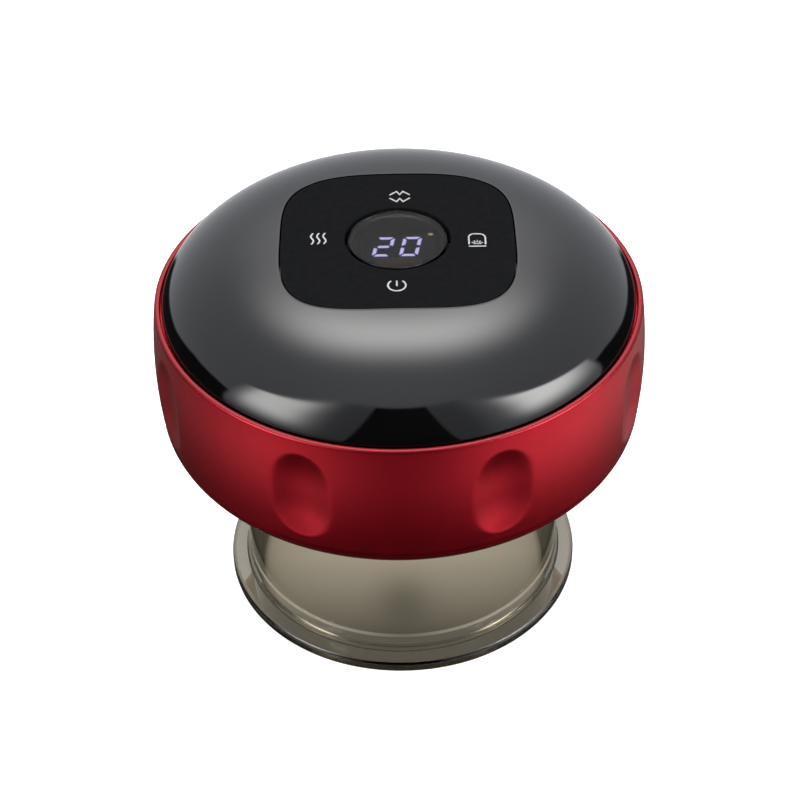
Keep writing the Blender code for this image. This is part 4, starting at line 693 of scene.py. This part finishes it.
TWO, ZERO = "top right_up middle left_down bottom", "top right_up right_down bottom left_down left_up"
lit, glow = lamp("lit_bar", (0.64, 0.61, 1.0), 1.4), lamp("violet_glow", (0.10, 0.07, 0.42), 0.8)
TENS_X, ONES_X = -2.77, 2.51
for name, bars_on, middle in (("digit_tens", TWO, TENS_X), ("digit_ones", ZERO, ONES_X)):
    piece(name, lit_bars(bars_on, middle, 0.0, MODULE_TOP, MODULE_TOP + 0.12), lit, "housing")
    piece(name + "_glow", lit_bars(bars_on, middle, GLOW_REACH, MODULE_TOP - 0.05, MODULE_TOP + 0.06), glow,
          "housing")

# %% [markdown]
# Under the lens's near edge shows the reddish brown of a polyimide ribbon, folded down over the lamp block
# to the board, with its copper tracks side by side. At the right is a small amber charge lamp.

# %% Ribbon and charge lamp
ribbon_finish = finish("polyimide_ribbon", (0.02, 0.006, 0.003), 0.45, Specular_IOR_Level=0.1)
copper_tracks = pattern(ribbon_finish, "Wave", 620, output=1)
colour_by(ribbon_finish, copper_tracks, (0.016, 0.004, 0.002), (0.045, 0.018, 0.007), 0.4, 0.6)
relief_by(ribbon_finish, copper_tracks, 0.02)
RIBBON_LEFT, RIBBON_RIGHT, RIBBON_HALF = -4.3, 4.6, 0.05
fold = np.concatenate(([(-3.7, MODULE_TOP + 0.14)], np.array([(-5.3, MODULE_TOP - 0.46)])
                       + arc_path((0, 0), 0.6, 90, 180, 8), [(-5.9, COLLAR_FOOT + 0.6)]))
fold_normal = unit(np.c_[np.gradient(fold[:, 1]), -np.gradient(fold[:, 0])])
band = [np.stack([np.full(len(fold), x), *(fold + fold_normal * t).T], axis=1)
        for x, t in ((RIBBON_LEFT, RIBBON_HALF), (RIBBON_RIGHT, RIBBON_HALF),
                     (RIBBON_RIGHT, -RIBBON_HALF), (RIBBON_LEFT, -RIBBON_HALF))]
piece("lamp_ribbon", [capped(np.stack(band, axis=1))], ribbon_finish, "housing")


def bar_outline(half_width, half_height, corner, steps=5):
    """A level bar round the origin, with round corners."""
    return rounded([(-half_width, -half_height, corner), (half_width, -half_height, corner),
                    (half_width, half_height, corner), (-half_width, half_height, corner)], steps)


amber = lamp("amber_lamp", (1.0, 0.58, 0.30), 0.6)
piece("charge_lamp", [slab(bar_outline(0.42, 0.18, 0.1) + (6.5, 3.85), MODULE_TOP, MODULE_TOP + 0.3)], amber,
      "housing")

# %% [markdown]
# ## The clear cup
#
# The cup is blown or moulded from a smoke-tinted clear plastic, so the skin can be watched while it is drawn
# up. Clear plastic shows its thickness: light that crosses one wall loses half, but along the wide rim it
# has to go through many millimetres and comes out almost black. That is why the rim has a dark outline. To
# get this, the surface stays clear and the tint is an absorption inside. Small steps where wall and rim meet
# catch thin lights. The neck above them carries the rubber seal in a groove. Two thin rings of a dull grey
# in the cup's two lower corners are painted shade: they draw the dark lines at the wall's foot.

# %% Cup and seal
smoke = finish("smoke_clear_plastic", (1, 1, 1), 0.005, 0.0, IOR=1.52, Transmission_Weight=1.0)
tint_inside(smoke, (0.30, 0.26, 0.12), 312)
relief_by(smoke, pattern(smoke, "Noise", 60, Detail=1), 0.004)
roughness_by(smoke, pattern(smoke, "Noise", 500, Detail=6), 0.0, 0.012)
CUP_TOP = FOOT + 0.2
piece("cup_fine", [turned([
    (37.4, 0, 0.45), (37.4, 2.6, 0.9),
    (34.05, 2.6, 0.06), (34.0, 3.8, 0.15), (33.4, 3.85, 0.06), (33.4, CUP_TOP),
    (31.4, CUP_TOP), (31.4, CUP_TOP + 1.0), (30.0, CUP_TOP + 1.0), (30.0, CUP_TOP + 2.8),
    (31.4, CUP_TOP + 2.8), (31.4, CUP_TOP + 3.8, 0.5), (28.9, CUP_TOP + 3.8, 0.3),
    (28.9, CUP_TOP - 2.5, 1.0),
    (30.9, CUP_TOP - 5.0, 1.5), (30.9, 5.7, 0.15), (31.6, 5.1, 0.15), (31.6, 1.2, 0.6), (32.1, 0, 0.4),
], 288)], smoke, "cup_set", ["cup"], even=True)

rubber = finish("black_rubber", (0.012, 0.012, 0.012), 0.62)
colour_by(rubber, pattern(rubber, "Noise", 800, Detail=5), (0.010, 0.010, 0.010), (0.018, 0.018, 0.017))
relief_by(rubber, pattern(rubber, "Noise", 2400), 0.006)


def bead(radius, height, thickness, columns):
    """A shell: a round wire of half a thickness about a circle of a radius at a height."""
    section = np.linspace(0, 2 * PI, 25)[:-1, None]
    return swept_round(radius + thickness / 2 * np.cos(section), height + thickness / 2 * np.sin(section),
                       columns_round(columns)), True


piece("seal_fine", [bead(30.85, CUP_TOP + 1.9, 1.1, 160)], rubber, "cup_set", ["cup_seal"])

# %% Painted shade in the corners
# Two thin dull grey rings at the wall's foot: painted shade that draws the dark lines in the cup's corners.
foot_shade = finish("dust_in_corner", (0.03, 0.027, 0.022), 0.95)
colour_by(foot_shade, pattern(foot_shade, "Noise", 2500, Detail=4), (0.02, 0.018, 0.015), (0.05, 0.045, 0.04))
relief_by(foot_shade, pattern(foot_shade, "Noise", 4000), 0.01)
piece("foot_dust", [bead(34.12, 2.66, 0.18, 240), bead(31.5, 0.5, 0.18, 240)], foot_shade, "cup_set")

# %% [markdown]
# ## What shows from below
#
# Through the cup one looks up at the warm plate, turned from aluminium: the tool leaves rings as fine as a
# record's, which a wave pattern in rings gives. Round it is the black base plate with the cup's socket, held
# by four cross-head screws.

# %% Warm plate
aluminium = finish("turned_aluminium", (0.70, 0.70, 0.71), 0.3, 1.0)
rings = pattern(aluminium, "Wave", 900, output=1, Detail=2, Distortion=0.4)
rings.node.wave_type, rings.node.rings_direction = "RINGS", "Z"
roughness_by(aluminium, rings, 0.22, 0.38, 0.2, 0.8)
relief_by(aluminium, rings, 0.003)
PLATE_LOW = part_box("heat_plate")[0].z / MM
AIR_HOLE, PLATE_RADIUS, PLATE_HIGH = 3.2, 26, PLATE_LOW + 1.2
piece("warm_plate", [turned([(AIR_HOLE, PLATE_LOW, 0.1), (PLATE_RADIUS, PLATE_LOW, 0.4),
                             (PLATE_RADIUS, PLATE_HIGH, 0.1), (AIR_HOLE, PLATE_HIGH)])],
      aluminium, "housing", ["heat_plate"], even=True)

# %% Base plate
ROOF = CUP_TOP + 4.4
base = piece("base_fine", [turned([
    (1.2, ROOF), (31.7, ROOF), (31.7, FOOT + 0.5, 0.5), (42.0, FOOT + 0.5, 0.3), (42.0, FOOT + 2.5),
    (33.7, FOOT + 2.5), (33.7, ROOF + 1.8, 0.3), (2.4, ROOF + 1.8, 0.3), (2.4, ROOF + 7.5, 0.3),
    (1.2, ROOF + 7.5),
])], black, "housing", ["base_plate"], even=True)
take_away(base, [slab(disc * size + spot, FOOT - 0.5, FOOT + top) for spot in boss_spots
                 for size, top in ((2.8, 1.6), (1.5, 3.0))])

# %% Screws
steel = finish("bright_steel", (0.60, 0.60, 0.61), 0.25, 1.0)
roughness_by(steel, pattern(steel, "Noise", 700, (1, 1, 9), Detail=6), 0.18, 0.36)
relief_by(steel, pattern(steel, "Noise", 2500, (1, 1, 9)), 0.0015)
screw_turn = columns_round(96)


def screw_face(reach):
    """A domed head: height rises with the square of the radius, and soft steps sink a cross into it."""
    beside = np.minimum(np.abs(reach * np.cos(screw_turn)), np.abs(reach * np.sin(screw_turn)))
    cross = 1 / (1 + np.exp((beside - 0.4) / 0.04)) / (1 + np.exp((reach - 1.45) / 0.05))
    return swept_round(reach, FOOT + 0.72 + 0.05 * reach ** 2 + 0.75 * cross, screw_turn)


shank = np.array([(2.5, FOOT + 1.15), (2.5, FOOT + 1.6), (1.05, FOOT + 1.6), (1.05, FOOT + 9.0),
                  (0, FOOT + 10.0)])
screw = np.concatenate((screw_face(np.linspace(0, 2.35, 44)[:, None]),
                        swept_round(shank[:, :1], shank[:, 1:], screw_turn)))
piece("base_screws", [(screw + (*spot, 0), False) for spot in boss_spots], steel, "housing")

# %% [markdown]
# ## The charging socket
#
# Behind the opening at the rear stands a small plug socket: a steel shell with a rolled mouth, a black
# tongue in it, and a row of gold contacts on each side of the tongue.

# %% Charging socket
SOCKET_BACK, SOCKET_MOUTH = (corner.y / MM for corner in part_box("charge_socket"))


def upright(shell, middle):
    """A slab that was raised along Z, laid along Y instead, with its own middle at (x, z)."""
    points, along = shell
    return points[..., [0, 2, 1]] + (middle[0], 0, middle[1]), along


socket_runs = [(8.9, 3.2, SOCKET_BACK), (8.9, 3.2, SOCKET_MOUTH - 0.2), (8.8, 3.1, SOCKET_MOUTH - 0.05),
               (8.55, 2.85, SOCKET_MOUTH), (8.3, 2.6, SOCKET_MOUTH - 0.05), (8.2, 2.5, SOCKET_MOUTH - 0.2),
               (8.2, 2.5, SOCKET_BACK + 1.2)]
socket_rings = []
for width, height, depth in socket_runs:
    across, up = pill(width, height).T
    socket_rings.append(np.c_[across, np.full(PILL_POINTS, depth), up + PORT_Z])
piece("socket_shell", [capped(np.array(socket_rings))], steel, "housing", ["charge_socket"])
tongue = slab(bar_outline(3.35, 0.35, 0.12), SOCKET_BACK + 1.1, SOCKET_MOUTH - 1.0)
piece("socket_tongue", [upright(tongue, (0, PORT_Z))], black, "housing")
gold = finish("contact_gold", (0.83, 0.56, 0.22), 0.25, 1.0)
roughness_by(gold, pattern(gold, "Noise", 3000), 0.18, 0.34)
contact = slab(bar_outline(0.14, 0.04, 0.02, 2), SOCKET_BACK + 1.4, SOCKET_MOUTH - 1.2)
piece("socket_contacts", [upright(contact, (x, PORT_Z + side))
                          for x in np.linspace(-2.75, 2.75, 12) for side in (-0.37, 0.37)],
      gold, "housing")

# %% [markdown]
# ## The release valve's spring
#
# The valve's plunger lifts by a little more than a millimetre, and a coil spring under its winding gives
# way. A rigid coil would let the plunger cut into it. The spring is a piece of its own, with a mesh of its
# own, and it moves with the housing.

# %% Valve spring
spring_low, spring_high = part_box("valve_spring")
WIRE, SPRING_TURNS = 0.25, 3
spring_foot, spring_top = spring_low.z / MM, spring_high.z / MM
coil_turn = np.linspace(0, 2 * PI * SPRING_TURNS, 48 * SPRING_TURNS + 1)[:, None]
section = np.linspace(0, 2 * PI, 13)[None, :-1]
climb = spring_foot + WIRE + (spring_top - spring_foot - 2 * WIRE) * coil_turn / coil_turn[-1]
coil_radius = (spring_high.y - spring_low.y) / MM / 2 - WIRE
coil = swept_round(coil_radius + WIRE * np.cos(section), climb + WIRE * np.sin(section), coil_turn)
coil += ((spring_low.x + spring_high.x) / MM / 2, 0, 0)
spring = piece("valve_coil_spring", [capped(coil)], steel, "housing", ["valve_spring"])
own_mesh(spring)

# %% [markdown]
# ## The parts inside
#
# The pump, the cell, the valve and the boards keep their CAD solids, since they only show when the model is
# opened. Each still gets the finish of its real stuff: fibreglass weave under green lacquer, copper wire
# laid turn by turn, the shiny wrap of the cell, the pores of the filter foam. The lamp block, which shows
# through the lens, gets the collar's dull black.

# %% Finishes for the parts inside
white = finish("natural_white_moulding", (0.72, 0.72, 0.69), 0.45, Subsurface_Weight=0.1)
colour_by(white, pattern(white, "Noise", 250, Detail=6), (0.68, 0.68, 0.64), (0.76, 0.76, 0.73))
roughness_by(white, pattern(white, "Noise", 3000), 0.38, 0.55)
relief_by(white, pattern(white, "Noise", 3000), 0.006)

silicone = finish("milky_silicone", (0.72, 0.72, 0.68), 0.4, Subsurface_Weight=0.4)
silicone_shader = silicone.node_tree.nodes["Principled BSDF"]
silicone_shader.inputs["Subsurface Radius"].default_value = (0.003, 0.003, 0.0025)
roughness_by(silicone, pattern(silicone, "Noise", 1200, Detail=4), 0.3, 0.5)
relief_by(silicone, pattern(silicone, "Noise", 1500), 0.004)

board = finish("green_board", (0.012, 0.11, 0.04), 0.35, Coat_Weight=0.5, Coat_Roughness=0.15)
weave = pattern(board, "Wave", 700, output=1)
colour_by(board, weave, (0.009, 0.085, 0.032), (0.015, 0.13, 0.05))
relief_by(board, weave, 0.004)
relief_by(board, pattern(board, "Wave", 700, (1, 0, 0), output=1), 0.004)

copper = finish("lacquered_copper", (0.62, 0.23, 0.09), 0.3, 1.0, Coat_Weight=0.5)
winding = pattern(copper, "Wave", 1300, output=1)
winding.node.bands_direction = "Z"
colour_by(copper, winding, (0.34, 0.10, 0.03), (0.70, 0.28, 0.11), 0.1, 0.7)
relief_by(copper, winding, 0.08)

film = finish("amber_film", (0.45, 0.20, 0.03), 0.28, Coat_Weight=0.6)
tracks = pattern(film, "Wave", 160, output=1, Distortion=2.0)
colour_by(film, tracks, (0.42, 0.17, 0.03), (0.62, 0.30, 0.07), 0.45, 0.55)
relief_by(film, tracks, 0.02)

foam = finish("filter_foam", (0.80, 0.80, 0.78), 0.95)
pores = pattern(foam, "Voronoi", 2200)
colour_by(foam, pores, (0.45, 0.45, 0.43), (0.84, 0.84, 0.82), 0.1, 0.5)
relief_by(foam, pores, 0.15)

wrap = finish("blue_cell_wrap", (0.02, 0.11, 0.36), 0.22, Coat_Weight=0.6, Coat_Roughness=0.1)
colour_by(wrap, pattern(wrap, "Noise", 150, Detail=5), (0.017, 0.095, 0.32), (0.025, 0.13, 0.40))
relief_by(wrap, pattern(wrap, "Noise", 180, (0.3, 1, 1), Detail=2), 0.03)

by_slot = {"black_plastic": black, "white_plastic": white, "soft_rubber": rubber, "clear_silicone": silicone,
           "board_green": board, "bright_steel": steel, "coil_copper": copper, "film_amber": film,
           "sponge_white": foam, "cell_wrap": wrap}
slots = {row["node"]: row["material_slot"] for row in frame["record"]["subparts"]}
shown = [node for node in frame["nodes"].values() if not node.hide_render]
for node in shown:
    node.data.materials.clear()
    node.data.materials.append(potting if node.name == "display_module" else by_slot[slots[node.name]])
print(len(shown), "CAD nodes keep their solids")

# %% [markdown]
# ## The studio
#
# A gloss dome is a map of the room: what it shows is what stands round it. So the room is built to match
# its mirror image. It is one large ball whose light is a formula of the direction, given by two angles: the
# turn, 0 behind the object and 180 at the camera, and the rise over the horizon. Soft hills make the lamps,
# and steep steps make the edges of the black screens.

# %% Soft steps and hills
def ease(value, start, width):
    """A step from 0 to 1 that is half way at start: (1 + tanh((value - start) / width)) / 2."""
    return (1 + np.tanh((value - start) / width)) / 2


def hill(value, top, width):
    """exp(-((value - top) / width)^2)"""
    return np.exp(-((value - top) / width) ** 2)


# %% [markdown]
# The walls are a bluish grey, brighter towards the ceiling and half as bright in front, round the camera.
# They fall off to the table, and more so at the left than at the right. The table itself gives back most of
# its light under the soft boxes. All angles are in degrees.

# %% Walls and table
WALL_LIGHT, CEILING_GAIN, CEILING_RISE, CEILING_WIDTH = 0.86, 0.32, 58, 22
FRONT_LOSS, FRONT_TURN, FRONT_TOP = 0.48, 142, 61
LOW_LEFT, LOW_RIGHT, LOW_RISE, REAR_RISE, REAR_END = 0.40, 0.92, -24, -36, 80
TABLE_EDGE, TABLE_RISE, TABLE_WIDTH = -22, -28, 9
TABLE_TURNS = (-180, -160, -140, -120, -105, -90, -60, -20, 20, 60, 90, 105, 120, 140, 160, 180)
TABLE_LIGHT = (0.45, 0.85, 1.6, 1.8, 1.25, 0.8, 0.25, 0.15, 0.1, 0.9, 1.9, 2.1, 2.0, 1.6, 0.9, 0.45)


def walls(turn, rise):
    """An even light with a soft step up to the ceiling, times soft steps down in front and to the table."""
    off = np.abs(turn)
    light = WALL_LIGHT + CEILING_GAIN * ease(rise, CEILING_RISE, CEILING_WIDTH)
    light = light * (1 - FRONT_LOSS * ease(off, FRONT_TURN, 5) * ease(FRONT_TOP - rise, 0, 2.5))
    low = np.where(turn < 0, LOW_LEFT, LOW_RIGHT) * ease(rise, LOW_RISE, 6)
    in_front = light + (low * light - light) * ease(-2 - rise, 0, 6)
    return np.where(off > REAR_END, in_front, light * ease(rise, REAR_RISE, 6))


def lit_table(turn, rise):
    """Light by turn, read between the listed angles, times a hill round one rise, below the table's edge."""
    power = np.interp(turn, TABLE_TURNS, TABLE_LIGHT)
    return power * ease(TABLE_EDGE - rise, 0, 2.5) * hill(rise, TABLE_RISE, TABLE_WIDTH)


# %% [markdown]
# A long lamp hangs over the object towards the back: on the dome it makes the broad soft light below the
# key plate. Two tall soft boxes stand at the front corners, and their tops are cut off slantwise: they make
# the two bright bands at the dome's edge. A row of numbers stands for each box: its side, the turns at which
# it begins and ends, how softly it ends and begins, its light, and the height and slant of its top.

# %% Lamps
OVERHEAD_HALF = 0.315
OVERHEAD_LIGHTS = ((6.6, 62, 13.7), (0.6, 36, 10))
BOX_RISE, BOX_FALL, BOX_FOLD = 30, 17, 110
SOFT_BOXES = ((-1, 99, 132, 7, 4, 8.0, -19.75, 0.55),
              (1, 84, 124, 6.5, 10, 11.0, -27.0, 0.6))


def overhead_lamp(ways):
    """exp(-|x / half|^3) across, times hills over the angle in the plane x = 0."""
    over = np.degrees(np.arctan2(ways[..., 2], ways[..., 1]))
    along = sum(power * hill(over, top, width) for power, top, width in OVERHEAD_LIGHTS)
    return np.exp(-np.abs(ways[..., 0] / OVERHEAD_HALF) ** 3) * along


def soft_box(turn, rise, side, begin, end, fade, growth, power, foot, slant):
    """Soft steps at both ends and at the slanted top, times a hill that fades towards the table."""
    aside = side * turn
    across = ease(aside, begin, 0.7) * ease(end - aside, 0, fade) * ease(aside, begin + 6, growth)
    below_top = ease(foot + slant * aside - rise, 0, 0.8 + 0.12 * np.clip(aside - BOX_FOLD, 0, 30))
    return power * across * below_top * hill(np.minimum(rise, BOX_RISE), BOX_RISE, BOX_FALL)


# %% [markdown]
# Two things are black. A low screen stands on each side, and its top climbs from the table's rear to the
# object's sides: it draws the dark band along the dome's seam. A tall one stands round the camera: it is the
# dark wedge in the middle of the dome's front edge.

# %% Black screens
SIDE_TURNS = (0, 13, 15, 20, 30, 45, 60, 75, 90, 100)
SIDE_TOPS = (-95, -90, -34, -25, -12, -4, 3, 13, 17, 17.5)
END_LEFT, END_RIGHT = 99, 83
FRONT_EDGE, FRONT_SLANT, FRONT_SCREEN_TOP = 156, 0.125, 60.5


def blackness(turn, rise):
    """Soft steps: 1 below the side screens' top, read between the listed angles, and 1 in the front one."""
    off = np.abs(turn)
    top = np.interp(off, SIDE_TURNS, SIDE_TOPS)
    sides = ease(top - rise, 0, 0.7) * ease(np.where(turn < 0, END_LEFT, END_RIGHT) - off, 0, 0.7)
    edge = FRONT_EDGE + FRONT_SLANT * np.clip(rise, -90, 60)
    front = ease(off, edge, 0.5) * ease(FRONT_SCREEN_TOP - rise, 0, 0.7)
    return np.clip(sides + front, 0, 1)


# %% [markdown]
# The ball carries the sum of all this as a colour attribute on its points, which an emission shader reads.
# It only gives light: the camera sees a plain white backdrop instead. Everything on the stage moves with the
# cup, because the cup stands on the table: when it is pulled off, it is the head that goes up.

# %% Light of the room
WALL_TINT, LAMP_TINT, BLACK = np.array((0.965, 0.985, 1.05)), np.array((1.0, 0.995, 0.975)), 0.02


def room(ways):
    """Light that comes from each direction, as red, green and blue."""
    turn = np.degrees(np.arctan2(ways[..., 0], ways[..., 1]))
    rise = np.degrees(np.arcsin(np.clip(ways[..., 2], -1, 1)))
    lamps = overhead_lamp(ways) + sum(soft_box(turn, rise, *box) for box in SOFT_BOXES)
    bright = walls(turn, rise)[..., None] * WALL_TINT + lamps[..., None] * LAMP_TINT
    seen = bright + (BLACK - bright) * blackness(turn, rise)[..., None]
    return seen + lit_table(turn, rise)[..., None] * LAMP_TINT


def light_sheet(name, radiance=None):
    """A sheet that only gives light: an even radiance, or else the mesh's own attribute named light."""
    material = bpy.data.materials.new(name)
    material.use_nodes = True
    nodes, links = material.node_tree.nodes, material.node_tree.links
    nodes.clear()
    source, output = nodes.new("ShaderNodeEmission"), nodes.new("ShaderNodeOutputMaterial")
    if radiance is None:
        reader = nodes.new("ShaderNodeAttribute")
        reader.attribute_name = "light"
        links.new(reader.outputs["Color"], source.inputs["Color"])
    else:
        source.inputs["Strength"].default_value = radiance
    links.new(source.outputs["Emission"], output.inputs["Surface"])
    return material


def sheet_of(name, rows, material, **seen):
    """A stage piece from a grid in mm that moves with the cup, met only by the named kinds of ray."""
    item = bpy.data.objects.new(name, mesh_of(name, [(rows, False)]))
    bpy.context.scene.collection.objects.link(item)
    item.data.materials.append(material)
    for kind in ("camera", "diffuse", "glossy", "transmission", "volume_scatter", "shadow"):
        setattr(item, "visible_" + kind, seen.get(kind, False))
    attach(item, "cup_set")
    return item


def shine_by(item, light_at):
    """Write the light of a sheet's points, given by a rule over points in mm, as its attribute light."""
    count = len(item.data.vertices)
    points = np.empty(count * 3)
    item.data.vertices.foreach_get("co", points)
    light = np.c_[light_at(points.reshape(-1, 3) / MM), np.ones(count)]
    item.data.attributes.new("light", "FLOAT_COLOR", "POINT").data.foreach_set("color", light.ravel())
    print(f"{item.name}: {count} points, light from {light[:, :3].min():.3f} to {light[:, :3].max():.2f}")


def ball(radius, rows, columns):
    """A ball as a grid: height follows sin, ring radius follows cos of the rise from pole to pole."""
    rise = np.linspace(-PI / 2, PI / 2, rows)[:, None]
    return swept_round(radius * np.cos(rise), radius * np.sin(rise), columns_round(columns))


room_ball = sheet_of("room", ball(2000, 200, 400), light_sheet("room_light"), diffuse=True, glossy=True,
                     transmission=True)
shine_by(room_ball, lambda points: room(unit(points)))

# %% [markdown]
# The floor is plain and pale, and so bright that the object hardly darkens it. Through the clear cup a
# second, small sheet shows in its place, since the table there is lit through the smoky plastic alone. It
# glows dimly by a formula. Inside the cup its light rises from front to rear, with a dim patch at the front.
# Outside it is dim all over, and dimmest where the wall stands. A white ball far out closes the picture.

# %% Floor and backdrop
INSIDE_FROM, INSIDE_TO, INSIDE_LIGHT, CUP_HOLLOW = -26, -2, (0.17, 0.66), 31.5
PATCH_LOSS, PATCH_HALF, PATCH_Y, PATCH_REACH = 0.38, 6, -16, 8
FOOT_LOSS, FOOT_RADIUS, FOOT_HALF = 0.55, 32.2, 1.4
TABLE_TINT = (1.06, 0.97, 0.82)


def through_the_wall(points):
    """Inside, a ramp along y less two crossed hills; outside, a soft step along y; then the wall's shade."""
    across, along = points[:, 0], points[:, 1]
    patch = PATCH_LOSS * hill(across, 0, PATCH_HALF) * hill(along, PATCH_Y, PATCH_REACH)
    inside = np.interp(along, (INSIDE_FROM, INSIDE_TO), INSIDE_LIGHT) * (1 - patch)
    outside = 0.19 + 0.15 * ease(along, -18, 7)
    from_middle = np.hypot(across, along)
    under_wall = FOOT_LOSS * hill(from_middle, FOOT_RADIUS, FOOT_HALF) * ease(along, -20, 6)
    light = np.where(from_middle < CUP_HOLLOW, inside, outside) * (1 - under_wall)
    return light[:, None] * TABLE_TINT


pale = finish("pale_floor", (0.86, 0.86, 0.86), 0.9, Emission_Strength=0.55, Specular_IOR_Level=0.1)
pale.node_tree.nodes["Principled BSDF"].inputs["Emission Color"].default_value = (1, 1, 1, 1)
floor_rings, table_rings = np.array([[0.0], [60.0], [300.0], [1980.0]]), np.linspace(0, 120, 61)[:, None]
sheet_of("floor", swept_round(floor_rings, 0.0, columns_round(96)), pale, camera=True)
table = sheet_of("table", swept_round(table_rings, -0.05, columns_round(96)), light_sheet("dim_table"),
                 transmission=True)
shine_by(table, through_the_wall)
sheet_of("backdrop", ball(3200, 40, 80), light_sheet("backdrop_light", 1.0), camera=True)

world = bpy.data.worlds.new("dark_room")
bpy.context.scene.world = world
world.use_nodes = True
world.node_tree.nodes["Background"].inputs["Color"].default_value = (0, 0, 0, 1)
bpy.context.scene.view_settings.view_transform = "Standard"

# %% [markdown]
# ## The camera
#
# The picture was taken from about 40 degrees above the table with a long lens, from 44 cm away at the scale
# of the object. The camera's three axes are worked out from its pitch, turn and roll and written into its
# matrix, which leaves no doubt about the order of the turns.

# %% Camera
PITCH, YAW, ROLL = np.radians((40.10, 0.045, -0.9995))
CAMERA_PLACE, SENSOR, FOCAL_LENGTH = (-0.00032, -0.3116, 0.30435), 36, 88.32
ahead = np.array((np.sin(YAW) * np.cos(PITCH), np.cos(YAW) * np.cos(PITCH), -np.sin(PITCH)))
level = np.array((np.cos(YAW), -np.sin(YAW), 0))
above = np.cross(level, ahead)
right_way = level * np.cos(ROLL) + above * np.sin(ROLL)
up_way = above * np.cos(ROLL) - level * np.sin(ROLL)
camera = bpy.data.objects.new("camera", bpy.data.cameras.new("camera"))
bpy.context.scene.collection.objects.link(camera)
camera.data.sensor_width, camera.data.lens = SENSOR, FOCAL_LENGTH
camera.data.clip_start, camera.data.clip_end = 0.01, 10
camera_axes = np.array((right_way, up_way, -ahead)).T.tolist()
camera.matrix_world = Matrix([[*axes, place] for axes, place in zip(camera_axes, CAMERA_PLACE)]
                             + [[0, 0, 0, 1]])
bpy.context.scene.camera = camera
print(f"camera: {np.linalg.norm(CAMERA_PLACE):.3f} m from the cup's foot, {FOCAL_LENGTH} mm lens")
